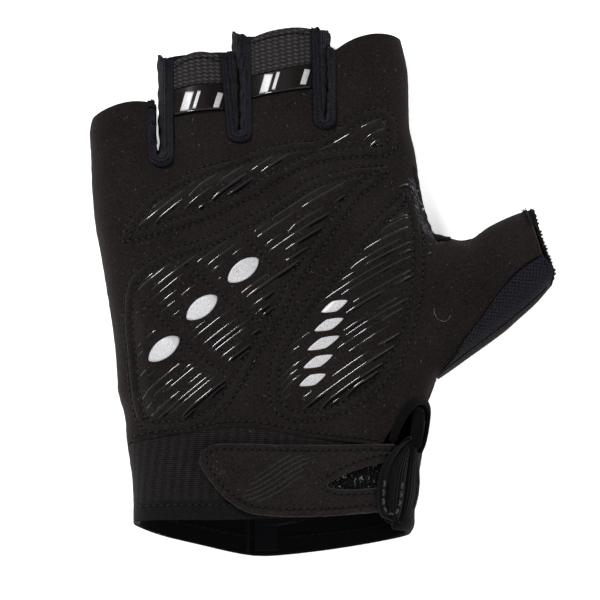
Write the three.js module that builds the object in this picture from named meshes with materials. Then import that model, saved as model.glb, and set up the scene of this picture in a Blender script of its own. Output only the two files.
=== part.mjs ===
// Fingerless cycling glove for the right hand, lying on its back with the palm up.
// Millimetres. +Z is up, +Y runs towards the fingertips and +X towards the thumb.
// Z = 0 is the surface that the glove lies on. Every cloth piece is a wall of its own thickness that
// follows one hollow skin, which is a pillow over the hand and a pillow over the thumb.
import * as THREE from 'three';

// Overall form
const gloveLength = 163; // back hem to the edge of the middle finger
const palmWidth = 97; // across the knuckles, laid flat
const palmHeight = 26; // lying surface to the highest part of the palm
const seamHeight = 9; // lying surface to the side seams
const palmRoll = 25; // width of the palm's rounded edges
const backRoll = 15; // width of the back's rounded edges
const fingerRoll = 11; // width of the rounded outer side of the little and index fingers
const handCentre = -20.5; // the hand's middle line

// Thumb
const thumbLength = 52.5; // along its middle line
const thumbWidth = 28;
const thumbHeight = 21;
const thumbAngle = THREE.MathUtils.degToRad(32);
const thumbRootPlace = { at: 0.46, x: 0.5825 }; // where the middle line leaves the hand, in shares of it
const thumbBlend = 4; // softness of the crease between thumb and palm

// Slits between the fingers
const slitWidth = 4.6; // between the palm's edges at the floor of a slit
const backSlitWidth = 3.9; // between the back's edges, all along a slit
const slitRound = 2.2; // height of a slit's rounded floor
const gussetBulge = 0.5; // how far the gussets bulge into a slit
const gussetInset = 0.2; // the gussets' edges stay this far inside the skin
const slitDip = 3.2; // how far the palm side falls towards a slit
const slitDipReach = 8;
const slitFade = 20; // length over which the dips fade into the palm
const backSlitRise = 1.8; // how far the back rises towards a slit

// Walls and clearances
const suedeWall = 1.3;
const backWall = 1.2;
const gussetWall = 1.0;
const bandWall = 1.5;
const knitWall = 1.2;
const meshWall = 1.1;
const bindingWall = 2.2;
const seamGap = 0.3; // left between neighbouring pieces
const bandProud = 0.5; // the grip bands and bindings stand this much above the skin

// Padding
const padRise = 2.0;
const padEdge = 0.5; // pad thickness at its stitched border
const grooveDepth = 1.6; // flex grooves across a pad
const grooveWidth = 2.6;
const grooveRun = 110; // length of the outer pad, along which its grooves are placed

// Closure at the wrist
const strapLength = 53;
const strapWidth = 22.4;
const strapWall = 1.7;
const strapTipPlace = { at: 0.126, x: -0.1546 }; // on the strap's middle line, in shares of the hand
const notchLength = 11.5;
const notchWidth = 5.4;
const notchShift = -0.5; // the notch's point, measured from the strap's middle line
const loopWall = 1.0;
const loopLift = 0.5; // the loop patch's gap to the cuff
const loopStart = 27.5; // from the strap's tip
const loopLength = 25.3;
const loopWidth = 17.2;
const flapWall = 1.2;
const flapWidth = 6.6;
const bindingWidth = 2.2;
const bindingProud = 0.4;
const tapeWall = 0.5;
const tapeShift = 1; // from the hand's middle line to the tape's left edge
const tapeWidth = 9;
const tapeLength = 9; // from the back's hem inwards

// Each row gives the hand's outline at one share of the glove's length: its left and right edge in
// shares of the palm's width, measured from the hand's middle line.
const handOutline = [
  { at: 0.0, left: -0.378, right: 0.43 },
  { at: 0.03, left: -0.382, right: 0.445 },
  { at: 0.06, left: -0.385, right: 0.472 },
  { at: 0.1, left: -0.385, right: 0.497 },
  { at: 0.145, left: -0.39, right: 0.51 },
  { at: 0.213, left: -0.407, right: 0.528 },
  { at: 0.26, left: -0.414, right: 0.537 },
  { at: 0.305, left: -0.435, right: 0.547 },
  { at: 0.332, left: -0.438, right: 0.569 },
  { at: 0.4, left: -0.448, right: 0.579 },
  { at: 0.488, left: -0.47, right: 0.582 },
  { at: 0.58, left: -0.497, right: 0.58 },
  { at: 0.625, left: -0.511, right: 0.545 },
  { at: 0.694, left: -0.522, right: 0.518 },
  { at: 0.763, left: -0.527, right: 0.502 },
  { at: 0.808, left: -0.53, right: 0.485 },
  { at: 0.86, left: -0.505, right: 0.482 },
  { at: 0.923, left: -0.47, right: 0.478 },
  { at: 1.0, left: -0.46, right: 0.45 },
];
// Height of the palm side along the hand, in shares of the palm's height.
const handCrown = [
  { at: 0.0, crown: 0.8 },
  { at: 0.1, crown: 0.88 },
  { at: 0.22, crown: 0.94 },
  { at: 0.38, crown: 1.0 },
  { at: 0.55, crown: 1.0 },
  { at: 0.68, crown: 0.92 },
  { at: 0.78, crown: 0.78 },
  { at: 0.88, crown: 0.71 },
  { at: 1.0, crown: 0.68 },
];
// The thumb's edges and height along its middle line, in shares of its own length, width and height.
const thumbOutline = [
  { at: -0.8, lower: -0.6, upper: 0.6, crown: 0.2 },
  { at: -0.26, lower: -0.63, upper: 0.72, crown: 1.08 },
  { at: 0.0, lower: -0.6, upper: 0.71, crown: 1.06 },
  { at: 0.25, lower: -0.565, upper: 0.63, crown: 1.02 },
  { at: 0.34, lower: -0.535, upper: 0.5, crown: 1.0 },
  { at: 0.5, lower: -0.48, upper: 0.507, crown: 0.96 },
  { at: 0.64, lower: -0.4, upper: 0.48, crown: 0.92 },
  { at: 0.82, lower: -0.33, upper: 0.41, crown: 0.86 },
];
// Where the thumb's two edges begin and end along its middle line.
const thumbSpan = { lowerRoot: -0.25, lowerTip: 0.635, upperRoot: 0.235, upperTip: 0.755 };
// Borders of the thumb's mesh panel and back on its palm side, as shares of the way across it.
const thumbBorders = [
  { along: 0.0, backTop: 0.0, meshTop: 0.0 },
  { along: 0.12, backTop: 0.0, meshTop: 0.02 },
  { along: 0.3, backTop: 0.02, meshTop: 0.12 },
  { along: 0.6, backTop: 0.05, meshTop: 0.3 },
  { along: 0.85, backTop: 0.065, meshTop: 0.44 },
  { along: 1.0, backTop: 0.07, meshTop: 0.54 },
];
const meshStart = 0.24; // the mesh panel's point along the thumb
const thumbBackStart = 0.012; // the thumb's back starts this share past the line shared with the hand
const thumbBackEnd = 1.05; // the back of the thumb's open end stands past the front

// Each slit: its floor on the palm side and on the back, the palm's edges at the fingertips, the back's
// middle line, and where its line meets the wrist seam.
const slits = [
  { at: 0.724, x: -0.29, leftTip: -0.325, rightTip: -0.265,
    backAt: 0.757, backX: -0.315, wristAt: 0.217, wristX: -0.215 },
  { at: 0.778, x: -0.042, leftTip: -0.079, rightTip: -0.02,
    backAt: 0.795, backX: -0.045, wristAt: 0.227, wristX: -0.03 },
  { at: 0.793, x: 0.209, leftTip: 0.178, rightTip: 0.25,
    backAt: 0.81, backX: 0.22, wristAt: 0.208, wristX: 0.165 },
];
// Finger edges at the left side, middle and right side of each finger, in shares of the glove's length.
const fingers = [
  { name: 'little', tip: [0.824, 0.846, 0.852], backTip: [0.828, 0.855, 0.858] },
  { name: 'ring', tip: [0.929, 0.94, 0.936], backTip: [0.954, 0.967, 0.963],
    band: [0.823, 0.829, 0.8355], mesh: [0.874, 0.882, 0.8875] },
  { name: 'middle', tip: [0.978, 0.993, 0.998], backTip: [0.996, 1.0, 0.992],
    band: [0.857, 0.867, 0.878], mesh: [0.901, 0.911, 0.926] },
  { name: 'index', tip: [0.95, 0.974, 0.978], backTip: [0.97, 0.987, 0.978] },
];
// The hand's outer edges at the wrist seam and level with the slits.
const leftEdge = { wrist: 0.204, slits: 0.724 };
const rightEdgeTop = 0.8;
const thumbRows = { low: 0.33, high: 0.6 }; // where the thumb joins the hand's right edge
// The palm piece's edge along the keyhole slit, up to the keyhole's top and out to the side.
const keyhole = [
  { at: 0.192, x: 0.392 },
  { at: 0.214, x: 0.412 },
  { at: 0.237, x: 0.44 },
  { at: 0.257, x: 0.471 },
  { at: 0.27, x: 0.505 },
  { at: 0.284, x: 0.5395 },
];
// The cuff's edge along the slit under the strap, and the back cuff's edge turned up on to the palm side.
const cuffEdge = [
  { at: 0.05, x: 0.3 },
  { at: 0.12, x: 0.33 },
  { at: 0.192, x: 0.392 },
];
const turnedEdge = [
  { at: 0.02, x: 0.425 },
  { at: 0.08, x: 0.43 },
  { at: 0.13, x: 0.437 },
  { at: 0.163, x: 0.458 },
  { at: 0.182, x: 0.492 },
  { at: 0.215, x: 0.516 },
  { at: 0.25, x: 0.525 },
];
// Hem lines on the palm side, across the cuff from the left edge to the slit.
const palmHem = [
  { across: 0, top: 0.09, bottom: 0.056 },
  { across: 0.35, top: 0.089, bottom: 0.053 },
  { across: 0.75, top: 0.089, bottom: 0.058 },
  { across: 1, top: 0.092, bottom: 0.068 },
];
// Hem lines on the back, around it from the left seam to the right one and on to the turned edge.
const backHem = [
  { around: 0, top: 0.088, bottom: 0.055 },
  { around: 0.1, top: 0.071, bottom: 0.04 },
  { around: 0.2, top: 0.059, bottom: 0.028 },
  { around: 0.4, top: 0.038, bottom: 0.006 },
  { around: 0.5, top: 0.034, bottom: 0.002 },
  { around: 0.7, top: 0.042, bottom: 0.012 },
  { around: 0.88, top: 0.056, bottom: 0.027 },
  { around: 1, top: 0.068, bottom: 0.037 },
];
const backWristAt = 0.3; // seam between the back and its cuff

// The strap's upper and lower edges in shares of its width, from its rounded tip to its sewn end.
const strapOutline = [
  { s: 0, upper: 0.2, lower: -0.02 },
  { s: 0.012, upper: 0.34, lower: -0.14 },
  { s: 0.04, upper: 0.41, lower: -0.24 },
  { s: 0.1, upper: 0.44, lower: -0.34 },
  { s: 0.2, upper: 0.45, lower: -0.45 },
  { s: 0.36, upper: 0.46, lower: -0.53 },
  { s: 0.7, upper: 0.49, lower: -0.56 },
  { s: 1, upper: 0.51, lower: -0.49 },
];

// Sections across each pad, from its inner border to its outer one.
const pads = {
  gel_pad_upper: [
    { s: 0.0, innerX: -0.428, innerAt: 0.58, outerX: -0.425, outerAt: 0.584 },
    { s: 0.09, innerX: -0.391, innerAt: 0.579, outerX: -0.403, outerAt: 0.611 },
    { s: 0.18, innerX: -0.318, innerAt: 0.587, outerX: -0.334, outerAt: 0.661 },
    { s: 0.27, innerX: -0.224, innerAt: 0.604, outerX: -0.224, outerAt: 0.702 },
    { s: 0.36, innerX: -0.13, innerAt: 0.625, outerX: -0.108, outerAt: 0.729 },
    { s: 0.45, innerX: -0.02, innerAt: 0.659, outerX: -0.001, outerAt: 0.752 },
    { s: 0.54, innerX: 0.075, innerAt: 0.695, outerX: 0.097, outerAt: 0.766 },
    { s: 0.63, innerX: 0.16, innerAt: 0.724, outerX: 0.178, outerAt: 0.773 },
    { s: 0.72, innerX: 0.232, innerAt: 0.736, outerX: 0.238, outerAt: 0.79 },
    { s: 0.81, innerX: 0.326, innerAt: 0.741, outerX: 0.32, outerAt: 0.823 },
    { s: 0.9, innerX: 0.405, innerAt: 0.744, outerX: 0.398, outerAt: 0.834 },
    { s: 1.0, innerX: 0.442, innerAt: 0.762, outerX: 0.442, outerAt: 0.812 },
  ],
  gel_pad_outer: [
    { s: 0.0, innerX: -0.37, innerAt: 0.24, outerX: -0.33, outerAt: 0.218 },
    { s: 0.09, innerX: -0.39, innerAt: 0.29, outerX: -0.208, outerAt: 0.222 },
    { s: 0.18, innerX: -0.402, innerAt: 0.36, outerX: -0.112, outerAt: 0.252 },
    { s: 0.27, innerX: -0.412, innerAt: 0.434, outerX: -0.045, outerAt: 0.308 },
    { s: 0.36, innerX: -0.392, innerAt: 0.505, outerX: 0.015, outerAt: 0.37 },
    { s: 0.45, innerX: -0.287, innerAt: 0.55, outerX: 0.072, outerAt: 0.424 },
    { s: 0.54, innerX: -0.161, innerAt: 0.577, outerX: 0.124, outerAt: 0.486 },
    { s: 0.63, innerX: -0.035, innerAt: 0.615, outerX: 0.186, outerAt: 0.543 },
    { s: 0.72, innerX: 0.075, innerAt: 0.653, outerX: 0.257, outerAt: 0.606 },
    { s: 0.81, innerX: 0.163, innerAt: 0.69, outerX: 0.322, outerAt: 0.66 },
    { s: 0.9, innerX: 0.279, innerAt: 0.712, outerX: 0.383, outerAt: 0.692 },
    { s: 1.0, innerX: 0.4, innerAt: 0.722, outerX: 0.42, outerAt: 0.717 },
  ],
  gel_pad_thumb: [
    { s: 0.0, innerX: 0.046, innerAt: 0.272, outerX: 0.064, outerAt: 0.252 },
    { s: 0.1, innerX: 0.043, innerAt: 0.314, outerX: 0.14, outerAt: 0.235 },
    { s: 0.2, innerX: 0.064, innerAt: 0.368, outerX: 0.263, outerAt: 0.25 },
    { s: 0.3, innerX: 0.105, innerAt: 0.413, outerX: 0.364, outerAt: 0.287 },
    { s: 0.4, innerX: 0.158, innerAt: 0.459, outerX: 0.439, outerAt: 0.342 },
    { s: 0.5, innerX: 0.22, innerAt: 0.504, outerX: 0.483, outerAt: 0.398 },
    { s: 0.6, innerX: 0.291, innerAt: 0.556, outerX: 0.51, outerAt: 0.463 },
    { s: 0.7, innerX: 0.362, innerAt: 0.607, outerX: 0.52, outerAt: 0.533 },
    { s: 0.8, innerX: 0.43, innerAt: 0.649, outerX: 0.518, outerAt: 0.588 },
    { s: 0.9, innerX: 0.462, innerAt: 0.672, outerX: 0.508, outerAt: 0.632 },
    { s: 1.0, innerX: 0.475, innerAt: 0.683, outerX: 0.49, outerAt: 0.662 },
  ],
};
const padGrooves = { gel_pad_upper: [], gel_pad_outer: [0.235, 0.4, 0.54], gel_pad_thumb: [] };

const { clamp } = THREE.MathUtils;
const mix = (a, b, t) => a + (b - a) * t;
const ease = (low, high, v) => {
  const t = clamp((v - low) / (high - low), 0, 1);
  return t * t * (3 - 2 * t);
};
const alongHand = (at) => (at - 0.5) * gloveLength;
const acrossHand = (share) => handCentre + share * palmWidth;

// A smooth curve through a table's column, read at any value of its key column.
function column(table, key, name) {
  const slope = table.map((row, i) => {
    const a = table[Math.max(i - 1, 0)];
    const b = table[Math.min(i + 1, table.length - 1)];
    return (b[name] - a[name]) / (b[key] - a[key]);
  });
  return (value) => {
    const v = clamp(value, table[0][key], table[table.length - 1][key]);
    let i = 0;
    while (i < table.length - 2 && v > table[i + 1][key]) i += 1;
    const step = table[i + 1][key] - table[i][key];
    const t = (v - table[i][key]) / step;
    const s = t * t * (3 - 2 * t);
    const bow = t * (1 - t) * step;
    return mix(table[i][name], table[i + 1][name], s)
      + bow * ((1 - t) * slope[i] - t * slope[i + 1]);
  };
}


// A parabola through a line's left, middle and right values.
const line3 = (line, t) => {
  const bow = line[1] - (line[0] + line[2]) / 2;
  return mix(line[0], line[2], t) + bow * 4 * t * (1 - t);
};

const leftShare = column(handOutline, 'at', 'left');
const rightShare = column(handOutline, 'at', 'right');
const crownShare = column(handCrown, 'at', 'crown');
const handAt = (y) => y / gloveLength + 0.5;
const handLeft = (y) => acrossHand(leftShare(handAt(y)));
const handRight = (y) => acrossHand(rightShare(handAt(y)));
const cuffEdgeX = column(cuffEdge, 'at', 'x');
const turnedEdgeX = column(turnedEdge, 'at', 'x');
const backTop = column(thumbBorders, 'along', 'backTop');
const meshTop = column(thumbBorders, 'along', 'meshTop');

const thumbLower = column(thumbOutline, 'at', 'lower');
const thumbUpper = column(thumbOutline, 'at', 'upper');
const thumbCrown = column(thumbOutline, 'at', 'crown');
const thumbDirection = { x: Math.cos(thumbAngle), y: Math.sin(thumbAngle) };
const thumbRoot = { x: acrossHand(thumbRootPlace.x), y: alongHand(thumbRootPlace.at) };
function thumbPoint(at, across) {
  const along = at * thumbLength;
  const side = across * thumbWidth;
  return {
    x: thumbRoot.x + along * thumbDirection.x - side * thumbDirection.y,
    y: thumbRoot.y + along * thumbDirection.y + side * thumbDirection.x,
  };
}
function thumbPlace(x, y) {
  const dx = x - thumbRoot.x;
  const dy = y - thumbRoot.y;
  return {
    at: (dx * thumbDirection.x + dy * thumbDirection.y) / thumbLength,
    across: (dy * thumbDirection.x - dx * thumbDirection.y) / thumbWidth,
  };
}

// The palm side's two edges of a slit at a place along the hand, and its line down to the wrist seam.
function palmSlit(k, y) {
  const slit = slits[k];
  const floor = alongHand(slit.at);
  const centre = acrossHand(slit.x);
  if (y <= floor) {
    const below = clamp((floor - y) / (floor - alongHand(slit.wristAt)), 0, 1);
    const middle = mix(centre, acrossHand(slit.wristX), below);
    const half = (slitWidth / 2) * mix(1, 0.4, below);
    return { left: middle - half, right: middle + half };
  }
  const up = (top) => clamp((y - floor) / (alongHand(top) - floor), 0, 1.2);
  return {
    left: mix(centre - slitWidth / 2, acrossHand(slit.leftTip), up(fingers[k].tip[2])),
    right: mix(centre + slitWidth / 2, acrossHand(slit.rightTip), up(fingers[k + 1].tip[0])),
  };
}

// The same for the back, whose slit has one width all along.
function backSlit(k, y) {
  const slit = slits[k];
  const floor = alongHand(slit.backAt);
  const below = clamp((floor - y) / (floor - alongHand(backWristAt)), 0, 1);
  const middle = mix(acrossHand(slit.backX), acrossHand(slit.wristX), below);
  const half = (backSlitWidth / 2) * mix(1, 0.5, below);
  return { left: middle - half, right: middle + half };
}

// Nearness to the closest slit edge: 1 on the edge and 0 out of reach, fading out below the floor.
function slitNearness(x, y) {
  let nearest = 0;
  slits.forEach((slit, k) => {
    const floor = alongHand(slit.at);
    const edges = palmSlit(k, y);
    const away = Math.max(edges.left - x, x - edges.right, 0);
    const near = Math.max(0, 1 - away / slitDipReach) ** 2;
    nearest = Math.max(nearest, near * ease(floor - slitFade, floor, y));
  });
  return nearest;
}

// How much of a pillow's height is missing at a distance from its edge: 1 on the edge, 0 past the roll.
function roll(distance, width, power) {
  const s = clamp(distance / width, 0, 1);
  return 1 - (1 - (1 - s) ** power) ** (1 / power);
}

// Powers of the rolled edges: 2 is round, and more is squarer.
const palmPower = 2.5;
const thumbPower = 2.3;
const backPower = 2.3;
// Low value for places outside a pillow, so that the other pillow rules there.
const outside = -60;
const slack = 1e-6;

function handTop(x, y) {
  const left = x - handLeft(y);
  const right = handRight(y) - x;
  if (left < -slack || right < -slack) return outside;
  const width = mix(palmRoll, fingerRoll, ease(0.68, 0.8, handAt(y)));
  const crown = palmHeight * crownShare(handAt(y));
  const lost = roll(left, width, palmPower) + roll(right, width, palmPower);
  return mix(crown, seamHeight, Math.min(lost, 1)) - slitDip * slitNearness(x, y);
}

function thumbTop(x, y) {
  const { at, across } = thumbPlace(x, y);
  const lower = (across - thumbLower(at)) * thumbWidth;
  const upper = (thumbUpper(at) - across) * thumbWidth;
  if (lower < -slack || upper < -slack || at < thumbOutline[0].at) return outside;
  const crown = thumbHeight * thumbCrown(at);
  const lost = roll(lower, thumbWidth / 2, thumbPower) + roll(upper, thumbWidth / 2, thumbPower);
  return mix(crown, Math.min(seamHeight, crown), Math.min(lost, 1));
}

// Height of the palm side of the skin.
function topHeight(x, y) {
  const hand = handTop(x, y);
  const thumb = thumbTop(x, y);
  if (hand === outside && thumb === outside) return seamHeight;
  const high = Math.max(hand, thumb);
  const low = Math.min(hand, thumb);
  if (low === outside) return high;
  const apart = (high - low) / thumbBlend;
  const rise = apart < 1 ? (thumbBlend * (1 - apart) ** 2) / 4 : 0;
  return high + rise * ease(seamHeight, seamHeight + thumbBlend, high);
}

// Height of the back of the skin, flat where it lies on the surface.
function backHeight(x, y) {
  const left = x - handLeft(y);
  const right = handRight(y) - x;
  const inHand = left > -slack && right > -slack;
  const width = mix(backRoll, fingerRoll * 0.8, ease(0.68, 0.8, handAt(y)));
  const handLost = roll(left, width, backPower) + roll(right, width, backPower);
  const hand = inHand
    ? seamHeight * Math.min(handLost, 1) + backSlitRise * slitNearness(x, y)
    : seamHeight;
  const { at, across } = thumbPlace(x, y);
  const lower = (across - thumbLower(at)) * thumbWidth;
  const upper = (thumbUpper(at) - across) * thumbWidth;
  const inThumb = lower > -slack && upper > -slack && at > thumbOutline[1].at;
  const thumbRoll = thumbWidth * 0.45;
  const thumbLost = roll(lower, thumbRoll, backPower) + roll(upper, thumbRoll, backPower);
  const thumb = inThumb ? seamHeight * Math.min(thumbLost, 1) : seamHeight;
  return Math.min(hand, thumb);
}

// The skin's outward direction on its palm side.
function topNormal(x, y) {
  const d = 0.05;
  const slopeX = (topHeight(x + d, y) - topHeight(x - d, y)) / (2 * d);
  const slopeY = (topHeight(x, y + d) - topHeight(x, y - d)) / (2 * d);
  return new THREE.Vector3(-slopeX, -slopeY, 1).normalize();
}
const topPoint = (x, y, lift = 0) => new THREE.Vector3(x, y, topHeight(x, y) + lift);
const backPoint = (x, y, lift = 0) => new THREE.Vector3(x, y, backHeight(x, y) + lift);
const raisedPoint = (x, y, lift) => topPoint(x, y).addScaledVector(topNormal(x, y), lift);

// Four-cornered cells between neighbouring rows of points; flip turns them to face the other way.
function cells(rows, flip = false, keep = () => true) {
  const list = [];
  for (let j = 0; j + 1 < rows.length; j += 1) {
    for (let i = 0; i + 1 < rows[j].length; i += 1) {
      if (keep(j, i)) {
        const cell = [rows[j][i], rows[j][i + 1], rows[j + 1][i + 1], rows[j + 1][i]];
        list.push(flip ? cell.reverse() : cell);
      }
    }
  }
  return list;
}

// A closed cloth wall from the cells of its outer face. The inner face lies one wall behind it, or
// wall(point) behind it, and an edge face closes every open border.
function clothWall(cellList, wall) {
  const thickness = typeof wall === 'function' ? wall : () => wall;
  const points = [];
  const found = new Map();
  const indexOf = (p) => {
    const key = [p.x, p.y, p.z].map((v) => Math.round(v * 2000)).join(' ');
    if (!found.has(key)) {
      found.set(key, points.length);
      points.push(p);
    }
    return found.get(key);
  };
  const triangles = [];
  cellList.forEach((cell) => {
    const [a, b, c, d] = cell.map(indexOf);
    [[a, b, c], [a, c, d]].forEach((t) => {
      if (t[0] !== t[1] && t[1] !== t[2] && t[2] !== t[0]) triangles.push(t);
    });
  });
  const normals = points.map(() => new THREE.Vector3());
  triangles.forEach((t) => {
    const [a, b, c] = t.map((i) => points[i]);
    const face = new THREE.Triangle(a, b, c).getNormal(new THREE.Vector3());
    t.forEach((i, k) => {
      const p = points[i];
      const u = points[t[(k + 1) % 3]].clone().sub(p);
      const v = points[t[(k + 2) % 3]].clone().sub(p);
      normals[i].addScaledVector(face, u.angleTo(v));
    });
  });
  const inner = points.map((p, i) => {
    if (p.onSeam) normals[i].z = 0;
    return p.clone().addScaledVector(normals[i].normalize(), -thickness(p));
  });
  const all = [...points, ...inner];
  const shift = points.length;
  const faces = [];
  const edges = new Map();
  triangles.forEach(([a, b, c]) => {
    faces.push([a, b, c], [c + shift, b + shift, a + shift]);
    [[a, b], [b, c], [c, a]].forEach(([s, e]) => {
      if (!edges.delete(`${e} ${s}`)) edges.set(`${s} ${e}`, [s, e]);
    });
  });
  edges.forEach(([s, e]) => faces.push([e, s, s + shift], [e, s + shift, e + shift]));
  const geometry = new THREE.BufferGeometry();
  const numbers = all.flatMap((p) => p.toArray());
  geometry.setAttribute('position', new THREE.Float32BufferAttribute(numbers, 3));
  geometry.setIndex(faces.flat());
  return geometry;
}

// The two sides of the hand, each with its own slits, finger edges and face.
// A point of one side; on the seams between palm and back it keeps half the gap and is marked, so that
// its wall stays level there.
function sidePoint(point, direction) {
  point.onSeam = topHeight(point.x, point.y) - seamHeight < 1e-4;
  if (point.onSeam) point.z += (direction * seamGap) / 2;
  return point;
}
const palm = {
  rows: { wrist: 6, thumb: 8, knuckles: 5 },
  flip: false,
  slit: palmSlit,
  floorAt: (slit) => slit.at,
  tip: (finger) => finger.tip,
  point: (x, y) => sidePoint(topPoint(x, y), 1),
};
const back = {
  rows: { wrist: 2, thumb: 6, knuckles: 4 },
  flip: true,
  slit: backSlit,
  floorAt: (slit) => slit.backAt,
  tip: (finger) => finger.backTip,
  point: (x, y) => sidePoint(backPoint(x, y), -1),
};

// Shares across a strip: close together at an outer edge, where the skin turns under, and even inside.
const rolledShares = [0, 0.008, 0.04, 0.12, 0.26, 0.46, 0.72, 1];
const evenShares = [0, 0.2, 0.4, 0.6, 0.8, 1];
const slitShares = [0, 0.5, 1];
const mirrored = (shares) => shares.map((s) => 1 - s).reverse();
const fingerShares = [rolledShares, evenShares, evenShares, mirrored(rolledShares)];
const cosine = (t) => (1 - Math.cos(Math.PI * t)) / 2;

// The hand's right edge: a given lower part, the line shared with the thumb, the index finger's side.
const thumbCorner = {
  low: { x: handRight(alongHand(thumbRows.low)), y: alongHand(thumbRows.low) },
  high: { x: handRight(alongHand(thumbRows.high)), y: alongHand(thumbRows.high) },
};
function rightEdge(side, lowerPart) {
  const { thumb, knuckles } = side.rows;
  const points = [...lowerPart];
  for (let j = 0; j < thumb; j += 1) {
    const t = cosine(j / thumb);
    points.push({
      x: mix(thumbCorner.low.x, thumbCorner.high.x, t),
      y: mix(thumbCorner.low.y, thumbCorner.high.y, t),
    });
  }
  for (let j = 0; j <= knuckles; j += 1) {
    const y = alongHand(mix(thumbRows.high, rightEdgeTop, j / knuckles));
    points.push({ x: handRight(y), y });
  }
  return points;
}

// Rows of cells over the hand, from the wrist seam to the slits' floors.
function handCells(side, wrist, right) {
  const rows = right.map((edge, j) => {
    const v = j / (right.length - 1);
    const leftY = alongHand(mix(wrist.left, leftEdge.slits, v));
    const strips = [];
    let from = { x: handLeft(leftY), y: leftY };
    slits.forEach((slit, k) => {
      const y = alongHand(mix(wrist.slit(slit), side.floorAt(slit), v));
      const cornerY = y + slitRound * ease(0.93, 1, v);
      const middle = side.slit(k, y);
      const a = { x: side.slit(k, cornerY).left, y: cornerY };
      const b = { x: (middle.left + middle.right) / 2, y };
      const c = { x: side.slit(k, cornerY).right, y: cornerY };
      const start = from;
      strips.push(fingerShares[k].map((t) => ({ x: mix(start.x, a.x, t), y: mix(start.y, a.y, t) })));
      strips.push([b]);
      from = c;
    });
    const last = fingerShares[3];
    strips.push(last.map((t) => ({ x: mix(from.x, edge.x, t), y: mix(from.y, edge.y, t) })));
    return strips.flat().map((p) => side.point(p.x, p.y));
  });
  return cells(rows, side.flip);
}

// The row at the slits' floors as a finger sees it.
function floorLine(side, k) {
  const cornerAt = slitRound / gloveLength;
  const left = k === 0 ? leftEdge.slits : side.floorAt(slits[k - 1]) + cornerAt;
  const right = k === 3 ? rightEdgeTop : side.floorAt(slits[k]) + cornerAt;
  return [left, (left + right) / 2, right];
}

// Rows of points over one finger, between two of its lines; inset moves the first line forward.
function fingerRows(side, k, from, to, count, pointAt = side.point, inset = 0) {
  const rows = [];
  for (let j = 0; j <= count; j += 1) {
    const line = from.map((at, i) => alongHand(mix(at, to[i], j / count)) + inset * (1 - j / count));
    const left = k === 0 ? handLeft(line[0]) : side.slit(k - 1, line[0]).right;
    const right = k === 3 ? handRight(line[2]) : side.slit(k, line[2]).left;
    rows.push(fingerShares[k].map((t) => pointAt(mix(left, right, t), line3(line, t))));
  }
  return rows;
}

// The thumb's two edges, from the line that it shares with the hand to its open end.
const thumbRootLower = thumbPoint(thumbSpan.lowerRoot, thumbLower(thumbSpan.lowerRoot));
const thumbRootUpper = thumbPoint(thumbSpan.upperRoot, thumbUpper(thumbSpan.upperRoot));
function thumbEdges(a) {
  const settle = 1 - ease(0, 0.35, a);
  const lowerAt = mix(thumbSpan.lowerRoot, thumbSpan.lowerTip, a);
  const upperAt = mix(thumbSpan.upperRoot, thumbSpan.upperTip, a);
  const lower = thumbPoint(lowerAt, thumbLower(lowerAt));
  const upper = thumbPoint(upperAt, thumbUpper(upperAt));
  lower.x += (thumbCorner.low.x - thumbRootLower.x) * settle;
  lower.y += (thumbCorner.low.y - thumbRootLower.y) * settle;
  upper.x += (thumbCorner.high.x - thumbRootUpper.x) * settle;
  upper.y += (thumbCorner.high.y - thumbRootUpper.y) * settle;
  return { lower, upper };
}

// Rows of points around the thumb: each row runs along it, and share(t, a) is the way across it.
const thumbSteps = 8;
function thumbGrid(start, end, count, ways, share, pointAt) {
  return ways.map((t) => {
    const row = [];
    for (let i = 0; i <= count; i += 1) {
      const a = mix(start, end, i / count);
      const { lower, upper } = thumbEdges(a);
      const c = share(t, a);
      row.push(pointAt(mix(lower.x, upper.x, c), mix(lower.y, upper.y, c)));
    }
    return row;
  });
}
const seamShare = (a) => {
  const { lower, upper } = thumbEdges(a);
  return seamGap / Math.hypot(upper.x - lower.x, upper.y - lower.y);
};
const steps = (count, curve = (t) => t) => Array.from({ length: count + 1 }, (_, i) => curve(i / count));

function palmPanel() {
  const lowerPart = keyhole.map((row) => ({ x: acrossHand(row.x), y: alongHand(row.at) }));
  const wrist = { left: leftEdge.wrist, slit: (slit) => slit.wristAt };
  const list = handCells(palm, wrist, rightEdge(palm, lowerPart));
  fingers.forEach((finger, k) => {
    const end = finger.band ?? finger.tip;
    list.push(...cells(fingerRows(palm, k, floorLine(palm, k), end, finger.band ? 3 : 4)));
  });
  const border = (t, a) => mix(Math.max(meshTop(a), 0), 1, t);
  const thumb = thumbGrid(0, 1, thumbSteps, steps(palm.rows.thumb, cosine), border, palm.point);
  list.push(...cells(thumb));
  return clothWall(list, suedeWall);
}

function backPanel() {
  const lowerPart = steps(back.rows.wrist).slice(0, -1).map((t) => {
    const y = alongHand(mix(backWristAt, thumbRows.low, t));
    return { x: handRight(y), y };
  });
  const wrist = { left: backWristAt, slit: () => backWristAt };
  const list = handCells(back, wrist, rightEdge(back, lowerPart));
  fingers.forEach((finger, k) => {
    list.push(...cells(fingerRows(back, k, floorLine(back, k), finger.backTip, 4), true));
  });
  return clothWall(list, backWall);
}

// A band or mesh panel across a finger, between two of its lines.
function fingerPanel(k, from, to, count, wall, proud) {
  const pointAt = (x, y) => topPoint(x, y, proud);
  return clothWall(cells(fingerRows(palm, k, from, to, count, pointAt, seamGap)), wall);
}

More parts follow.
